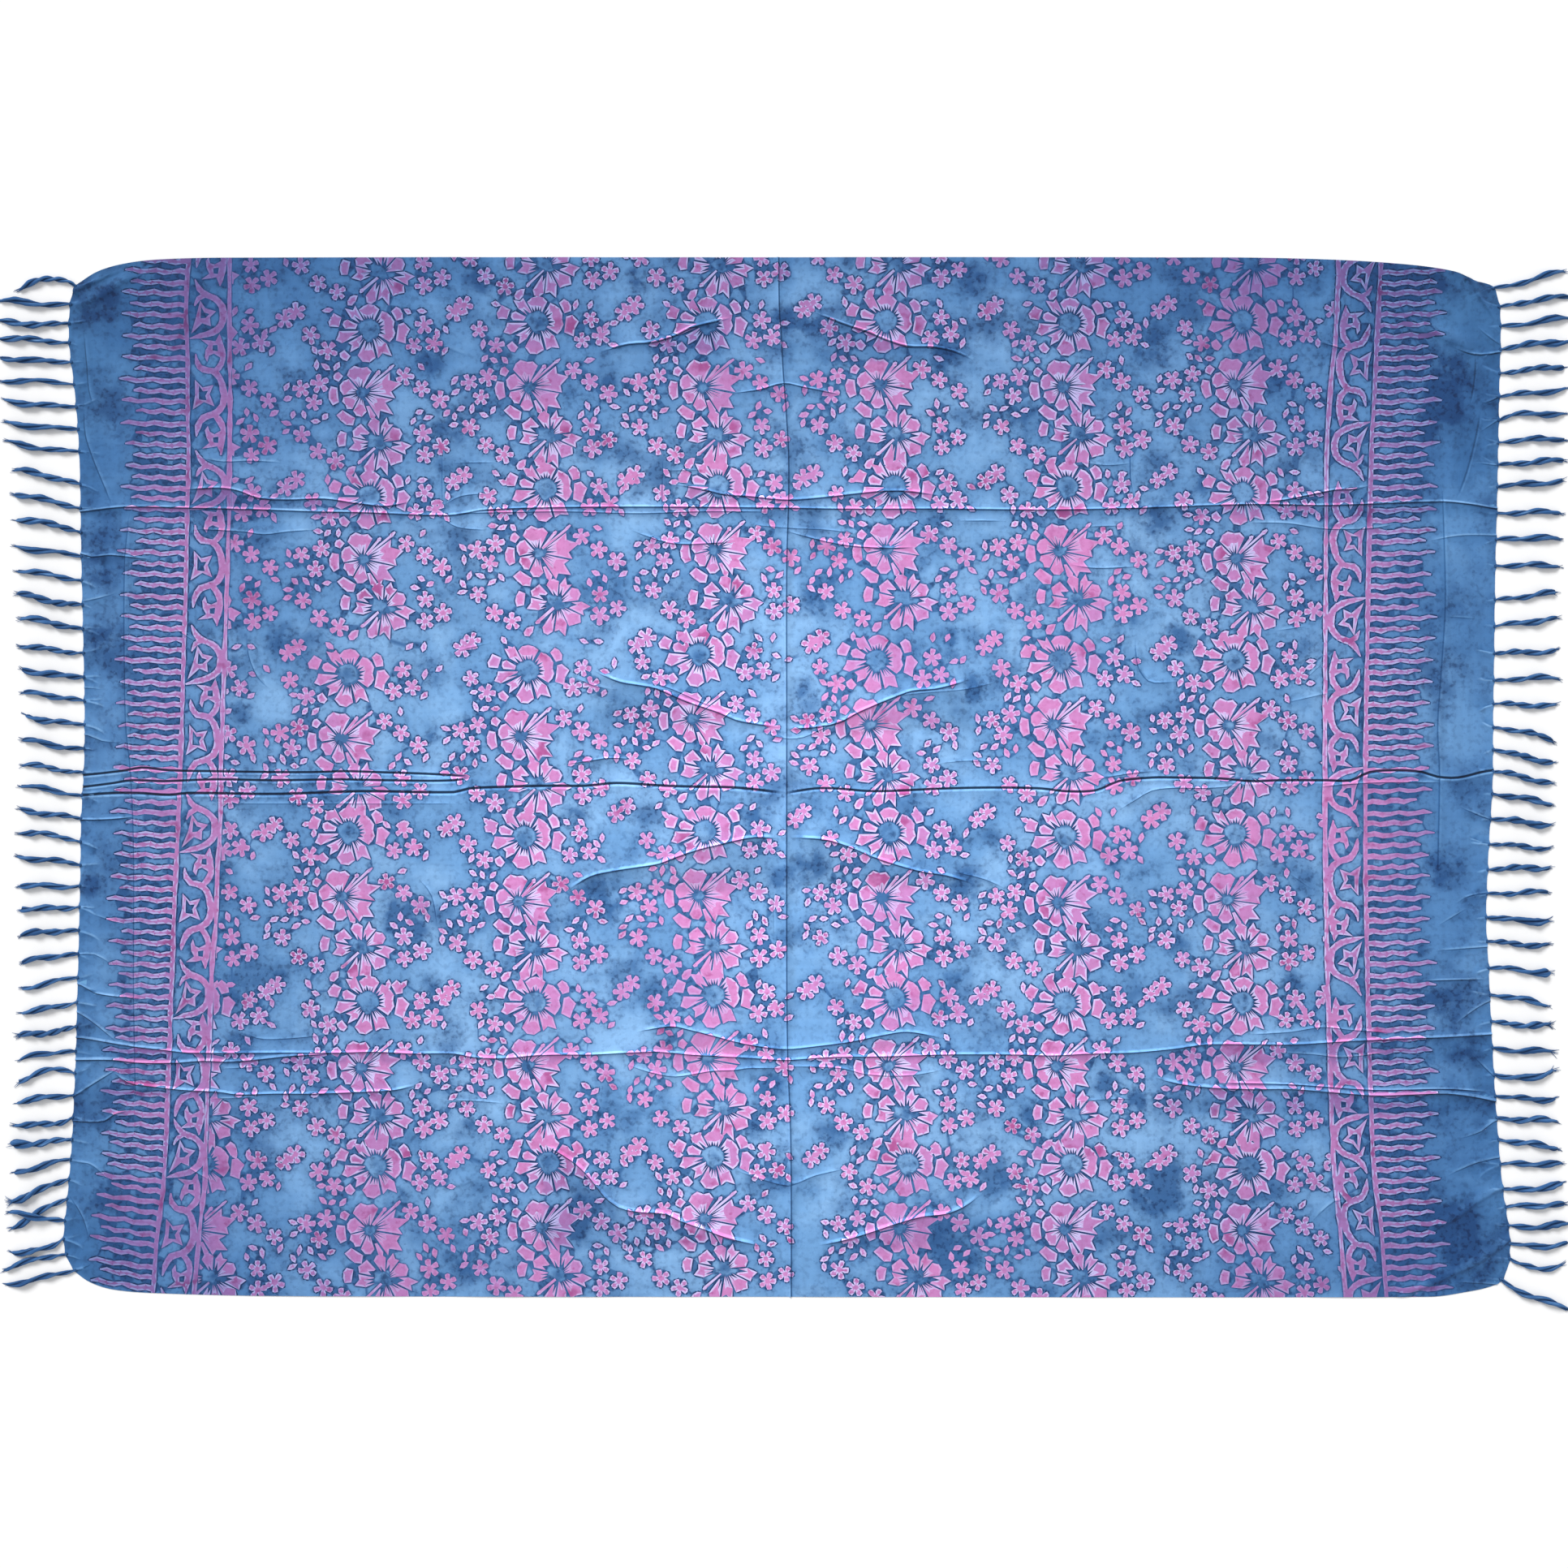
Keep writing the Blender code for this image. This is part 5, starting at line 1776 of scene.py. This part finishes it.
class Dyer:
    """Shorthand for the few kinds of pattern that the dyes are mixed from, in one material's node tree.

    A value or a colour that a method takes is either a constant or another node's output, and what it
    gives back is its own node's output.
    """

    ROUGHNESS = 0.55
    SEED_SLANT = 0.7

    def __init__(self, name: str) -> None:
        """Start a material that has only its shader."""
        self.material = bpy.data.materials.new(name)
        self.material.use_nodes = True
        self.tree = self.material.node_tree
        self.shader = self.tree.nodes["Principled BSDF"]
        self.place = add_node(self.tree, "ShaderNodeTexCoord").outputs["Object"]

    def cloudiness(self, size: float, detail: float, seed: float, squash: Point = (1.0, 1.0)) -> Any:
        """Noise whose patches are about a size across, in millimetres, squashed along and across."""
        moved = add_node(self.tree, "ShaderNodeMapping", None, {
            "Vector": self.place, "Location": (seed, seed * self.SEED_SLANT, 0.0), "Scale": (*squash, 1.0)})
        return add_node(self.tree, "ShaderNodeTexNoise", None, {
            "Vector": moved.outputs[0], "Scale": 0.5 / (size * MM), "Detail": detail,
            "Roughness": self.ROUGHNESS}).outputs[0]

    def mottle(self, pattern: Mottle) -> Any:
        """A pattern of noise, cut at its levels."""
        return self.step(self.cloudiness(pattern.size, pattern.detail, pattern.seed), pattern.levels)

    def attribute(self, name: str, output: str = "Fac") -> Any:
        """A number or vector kept on the mesh."""
        return add_node(self.tree, "ShaderNodeAttribute", {"attribute_name": name}).outputs[output]

    def step(self, value: Any, levels: Levels) -> Any:
        """A value turned into a share that changes gently from one level to another."""
        return add_node(self.tree, "ShaderNodeMapRange", {"interpolation_type": "SMOOTHSTEP"}, {
            "Value": value, "From Min": levels.low, "From Max": levels.high,
            "To Min": levels.start, "To Max": levels.end}).outputs[0]

    def combine(self, operation: str, first: Any, *others: Any) -> Any:
        """Numbers added, multiplied or otherwise combined, one after the other."""
        for other in others:
            first = add_node(self.tree, "ShaderNodeMath", {"operation": operation},
                             {0: first, 1: other}).outputs[0]
        return first

    def mix(self, share: Any, first: Any, second: Any, blend: str = "MIX") -> Any:
        """One colour mixed into another."""
        return add_node(self.tree, "ShaderNodeMix", {"data_type": "RGBA", "blend_type": blend},
                        {0: share, 6: first, 7: second}).outputs[2]

    def bump(self, height: Any, depth: float, strength: float) -> None:
        """Fine relief, with its depth in millimetres."""
        node = add_node(self.tree, "ShaderNodeBump", None, {
            "Height": height, "Distance": depth * MM, "Strength": strength})
        self.tree.links.new(node.outputs[0], self.shader.inputs["Normal"])

    def finish(self, colour: Any, **shares: float) -> None:
        """Give the shader its colour, and a constant for each of its other inputs that is named."""
        self.tree.links.new(colour, self.shader.inputs["Base Color"])
        for name, share in shares.items():
            self.shader.inputs[name.replace("_", " ")].default_value = share


class DyeLayer(Enum):
    """Which part of the batik a dye colours."""

    GROUND = "ground"
    PRINT = "print"
    UNDERSIDE = "underside"


@dataclass(frozen=True)
class BatikDye:
    """Wax-resist dyed plain-woven rayon: chalky, mottled and faintly shiny, with painted highlight and
    painted shade along its creases.
    """

    name: str
    layer: DyeLayer
    light_blue: str = "#88B7E7"
    mid_blue: str = "#6D9FD3"
    deep_blue: str = "#2C5C94"
    line_blue: str = "#0E3262"
    pink: str = "#D78FCC"
    lilac: str = "#C78CCB"
    magenta: str = "#A8488A"
    pale_rim: str = "#D8CEFC"
    # Painted shade also pulls the colour towards this blue
    painted_shade_blue: str = "#A9DDFF"
    thread_shade: str = "#F4F4F4"
    mid_patches: Mottle = Mottle(60.0, 5.0, 1.0, Levels(0.38, 0.6))
    pool_grain: Mottle = Mottle(12.0, 6.0, 3.1, Levels(0.3, 0.7, 0.5, 1.35))
    pools: Levels = Levels(0.1, 1.0)
    pool_strength: float = 0.9
    blotches: Mottle = Mottle(36.0, 6.0, 5.0, Levels(0.46, 0.7, 0.0, 0.8))
    speckle: Mottle = Mottle(2.8, 4.0, 6.3, Levels(0.48, 0.66, 0.0, 0.6))
    least_speckle: float = 0.3
    print_speckle: float = 0.35
    thin_shade: Levels = Levels(0.0, 2.4, 0.85, 0.0)
    wide_shade: Levels = Levels(0.0, 10.0, 0.28, 0.0)
    lilac_patches: Mottle = Mottle(60.0, 3.0, 15.0, Levels(0.42, 0.6))
    plum_patches: Mottle = Mottle(22.0, 4.0, 12.0, Levels(0.54, 0.68, 0.0, 0.85))
    plum_grain: Mottle = Mottle(6.0, 4.0, 18.0, Levels(0.54, 0.72, 0.0, 0.7))
    plum_inside: Levels = Levels(1.6, 4.0, 0.0, 0.16)
    wax_patches: Mottle = Mottle(110.0, 2.0, 8.4, Levels(0.36, 0.52, 0.25, 1.0))
    wax_breaks: Mottle = Mottle(7.0, 2.0, 25.0, Levels(0.34, 0.52, 0.3, 1.0))
    pale_line: Levels = Levels(1.0, 2.6, 0.9, 0.0)
    dark_line: Levels = Levels(0.8, 2.3, 0.95, 0.0)
    ghosts: Mottle = Mottle(16.0, 2.0, 20.0, Levels(0.54, 0.6, 0.0, 0.4))
    thread: float = 3.6
    thread_squash: float = 0.06
    thread_levels: Levels = Levels(0.36, 0.64)
    # How dark the painted light must get to pull the colour fully to that blue
    painted_shade_purity: Levels = Levels(0.35, 1.05, 1.0, 0.0)
    crumple_size: float = 14.0
    thread_relief: float = 0.12
    relief: float = 0.35

    def material(self) -> bpy.types.Material:
        """The dyed cloth's material."""
        dyer = Dyer(self.name)
        if self.layer is DyeLayer.UNDERSIDE:
            self.weave(dyer, dyer.mix(dyer.mottle(self.ghosts), self.blue(dyer), linear(self.lilac)))
            return dyer.material
        # how far inside or outside the print's nearest edge each place is
        rims = dyer.attribute("rims", "Vector")
        rim = dyer.combine("MINIMUM", *add_node(dyer.tree, "ShaderNodeSeparateXYZ", None, {0: rims}).outputs)
        # each printed shape has a pale rim inside and a dark line outside, uneven and in places missing
        uneven = dyer.combine("MULTIPLY", dyer.mottle(self.wax_patches), dyer.mottle(self.wax_breaks))
        if self.layer is DyeLayer.PRINT:
            pale = dyer.combine("MULTIPLY", dyer.step(rim, self.pale_line), uneven)
            self.weave(dyer, dyer.mix(pale, self.print_pink(dyer, rim), linear(self.pale_rim)))
        else:
            line = dyer.combine("MULTIPLY", dyer.step(rim, self.dark_line), uneven)
            self.weave(dyer, dyer.mix(line, self.blue(dyer), linear(self.line_blue)))
        return dyer.material

    def blue(self, dyer: Dyer) -> Any:
        """Mottled blue: granular clouds where the dye pooled, a shade round the print, and a speckle."""
        pooled = dyer.combine("MULTIPLY", dyer.attribute("pool"), dyer.mottle(self.pool_grain))
        dark = dyer.combine("MULTIPLY", dyer.step(pooled, self.pools), self.pool_strength)
        edge = dyer.attribute("edge")
        near = dyer.combine("MAXIMUM", dyer.step(edge, self.thin_shade), dyer.step(edge, self.wide_shade))
        shade = dyer.combine("MAXIMUM", dark, dyer.mottle(self.blotches), near)
        colour = dyer.mix(dyer.mottle(self.mid_patches), linear(self.light_blue), linear(self.mid_blue))
        colour = dyer.mix(shade, colour, linear(self.deep_blue))
        speckled = dyer.combine("ADD", shade, self.least_speckle)
        fine = dyer.combine("MULTIPLY", dyer.mottle(self.speckle), speckled)
        return dyer.mix(fine, colour, linear(self.line_blue))

    def print_pink(self, dyer: Dyer, rim: Any) -> Any:
        """Pink that turns to lilac in patches, and to plum in smaller ones."""
        colour = dyer.mix(dyer.mottle(self.lilac_patches), linear(self.pink), linear(self.lilac))
        plum = dyer.combine("MAXIMUM", dyer.mottle(self.plum_patches), dyer.mottle(self.plum_grain),
                            dyer.step(rim, self.plum_inside))
        colour = dyer.mix(plum, colour, linear(self.magenta))
        fine = dyer.combine("MULTIPLY", dyer.mottle(self.speckle), self.print_speckle)
        return dyer.mix(fine, colour, linear(self.magenta))

    def weave(self, dyer: Dyer, colour: Any) -> None:
        """Weave a colour from uneven threads both ways, scale it by the painted light and shade, and finish
        the shader.

        Real threads are 0.3 mm apart, so they are drawn coarser, as slubs that show. Where the painted shade
        is deep, the colour is also a purer blue. The rayon is chalky, with a faint sheen.

        Args:
            dyer: The material's dyer.
            colour: The dye's own colour.
        """
        warp = dyer.cloudiness(self.thread, 2.0, 31.0, (self.thread_squash, 1.0))
        weft = dyer.cloudiness(self.thread, 2.0, 37.0, (1.0, self.thread_squash))
        threads = dyer.combine("MULTIPLY", dyer.combine("ADD", warp, weft), 0.5)
        shadow = dyer.mix(1.0, colour, linear(self.thread_shade), "MULTIPLY")
        shaded = dyer.mix(dyer.step(threads, self.thread_levels), shadow, colour)
        # Painted light and shade of the creases and the painted light falloff scale the colour, and where
        # darker tint it bluer
        painted_light = dyer.attribute("painted_light")
        painted_shade_tinted = dyer.mix(dyer.step(painted_light, self.painted_shade_purity), shaded, linear(self.painted_shade_blue), "MULTIPLY")
        painted_light_colour = add_node(dyer.tree, "ShaderNodeVectorMath", {"operation": "SCALE"},
                         {"Vector": painted_shade_tinted, "Scale": painted_light}).outputs[0]
        crumpled = dyer.cloudiness(self.crumple_size, 3.0, 41.0)
        ribbed = dyer.combine("MULTIPLY", threads, self.thread_relief)
        dyer.bump(dyer.combine("ADD", crumpled, ribbed), 1.0, self.relief)
        dyer.finish(painted_light_colour, Roughness=0.82, Sheen_Weight=0.08, Sheen_Roughness=0.5, Specular_IOR_Level=0.25)


@dataclass(frozen=True)
class CordDye:
    """Twisted rayon warp threads dyed blue: streaky along the threads, with painted shade, near black,
    between the plies.
    """

    name: str = "Twisted rayon thread, dyed blue"
    light: str = "#6A92C0"
    middle: str = "#35639A"
    dark: str = "#1E426F"
    # painted shade between the plies
    gap: str = "#0E264A"
    streak_scale: float = 2.6
    streak_detail: float = 4.0
    streak_roughness: float = 0.6
    dark_to_middle: Levels = Levels(0.34, 0.52)
    middle_to_light: Levels = Levels(0.54, 0.7)
    dark_patches: Mottle = Mottle(26.0, 2.0, 4.0, Levels(0.45, 0.65, 0.0, 0.4))
    streak_depth: float = 0.35
    relief: float = 0.5

    def material(self) -> bpy.types.Material:
        """The cords' material."""
        dyer = Dyer(self.name)
        streak = add_node(dyer.tree, "ShaderNodeTexNoise", None, {
            "Vector": dyer.attribute("lay", "Vector"), "Scale": self.streak_scale,
            "Detail": self.streak_detail, "Roughness": self.streak_roughness}).outputs[0]
        colour = dyer.mix(dyer.step(streak, self.dark_to_middle), linear(self.dark), linear(self.middle))
        colour = dyer.mix(dyer.step(streak, self.middle_to_light), colour, linear(self.light))
        colour = dyer.mix(dyer.mottle(self.dark_patches), colour, linear(self.dark))
        # painted shade between the plies
        colour = dyer.mix(dyer.attribute("groove"), colour, linear(self.gap))
        dyer.bump(streak, self.streak_depth, self.relief)
        dyer.finish(colour, Roughness=0.75, Specular_IOR_Level=0.2)
        return dyer.material


@dataclass(frozen=True)
class FloorPaint:
    """Matt off-white paper sweep: plain and pale, so that it takes a soft shadow and no reflection."""

    name: str = "Matt white paper"
    colour: str = "#F4F4F4"
    roughness: float = 0.95

    def material(self) -> bpy.types.Material:
        """The floor's material."""
        dyer = Dyer(self.name)
        dyer.shader.inputs["Base Color"].default_value = linear(self.colour)
        dyer.shader.inputs["Roughness"].default_value = self.roughness
        return dyer.material


GROUND_DYE = BatikDye("Batik rayon, blue ground", DyeLayer.GROUND)
PRINT_DYE = BatikDye("Batik rayon, pink print", DyeLayer.PRINT)
UNDER_DYE = BatikDye("Batik rayon, underside", DyeLayer.UNDERSIDE, light_blue="#78AFDB", mid_blue="#6AA2D2",
                     deep_blue="#4C86BC")
CORD_DYE = CordDye()
FLOOR_PAINT = FloorPaint()


@dataclass(frozen=True)
class Studio:
    """A pale floor, soft light from the upper left and a camera that looks straight down.

    The floor's size and the view's width are in metres, the lens and the sensor in millimetres, and the
    light's height over the floor, its turn and its breadth in degrees.
    """

    floor_size: float = 16.0
    lens: float = 50.0
    sensor: float = 36.0
    view_width: float = 1.7253
    view_reach: float = 100.0
    sun_strength: float = 2.35
    sun_height: float = 44.0
    sun_turn: float = 115.0
    sun_angle: float = 24.0
    sky_strength: float = 0.64

    def build(self, shift: Vector) -> None:
        """Set up the floor, the light and the camera."""
        self.lay_floor()
        self.light()
        self.set_camera(shift)

    def lay_floor(self) -> None:
        """Lay the floor under the cloth."""
        bpy.ops.object.select_all(action="DESELECT")
        bpy.ops.mesh.primitive_plane_add(size=self.floor_size, location=(0.0, 0.0, 0.0))
        floor = bpy.context.active_object
        floor.name = "floor"
        floor.data.materials.append(FLOOR_PAINT.material())

    def light(self) -> None:
        """Light the scene with a white sky and one broad sun."""
        world = bpy.data.worlds.new("sky")
        world.use_nodes = True
        sky = world.node_tree.nodes["Background"].inputs
        sky["Strength"].default_value = self.sky_strength
        sky["Color"].default_value = (1.0, 1.0, 1.0, 1.0)
        bpy.context.scene.world = world
        sun = bpy.data.lights.new("sun", "SUN")
        sun.energy = self.sun_strength
        sun.angle = math.radians(self.sun_angle)
        lamp = bpy.data.objects.new("sun", sun)
        turn, height = math.radians(self.sun_turn), math.radians(self.sun_height)
        level = math.cos(height)
        toward = Vector((math.cos(turn) * level, math.sin(turn) * level, math.sin(height)))
        lamp.rotation_euler = toward.to_track_quat("Z", "Y").to_euler()
        bpy.context.collection.objects.link(lamp)

    def set_camera(self, shift: Vector) -> None:
        """Hang the camera over the cloth's middle, as high as its view is wide."""
        view = bpy.data.cameras.new("camera")
        view.lens = self.lens
        view.sensor_width = self.sensor
        view.clip_end = self.view_reach
        camera = bpy.data.objects.new("camera", view)
        distance = self.view_width * self.lens / self.sensor
        camera.location = (shift.x * MM, shift.y * MM, distance)
        bpy.context.collection.objects.link(camera)
        bpy.context.scene.camera = camera
        bpy.context.scene.view_settings.view_transform = "Standard"


# The seeds of the cords' places, which are the model's own, and of their twist
PLACE_SEED = 45
TWIST_SEED = 8


def main() -> None:
    """Build the sarong's pieces, dress them and set the stage."""
    logging.basicConfig(level=logging.INFO, format="%(name)s: %(message)s")
    edge = as_array(smooth_line(OUTLINE, MODEL_EDGE_STEP, closed=True))
    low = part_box("cloth")[0]
    shift = Vector((low[0] / MM - edge[:, 0].min(), low[1] / MM - edge[:, 1].min()))
    Studio().build(shift)
    left = Fringe("fringe_left_cords", -1, LEFT_FRINGE, LEFT_ODD_CORDS, LEFT_TIPS, shift)
    right = Fringe("fringe_right_cords", 1, RIGHT_FRINGE, RIGHT_ODD_CORDS, RIGHT_TIPS, shift)
    jitter, twists = random.Random(PLACE_SEED), random.Random(TWIST_SEED)
    roots = []
    for fringe, node in ((left, "fringe_left"), (right, "fringe_right")):
        cords = fringe.lay_out(jitter)
        roots.extend((cord.side, cord.root[1]) for cord in cords)
        piece = fringe.build(cords, twists)
        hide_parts(node)
        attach(piece, "root")
        log.info("%s: %d cords, %d faces", piece.name, len(cords), len(piece.data.polygons))
    ink = BatikPrint()
    ink.make()
    cloth = Cloth(shift, tuple(roots), ink).build()
    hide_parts("cloth")
    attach(cloth, "root")
    log.info("%s: %d faces", cloth.name, len(cloth.data.polygons))


if __name__ == "__main__":
    main()
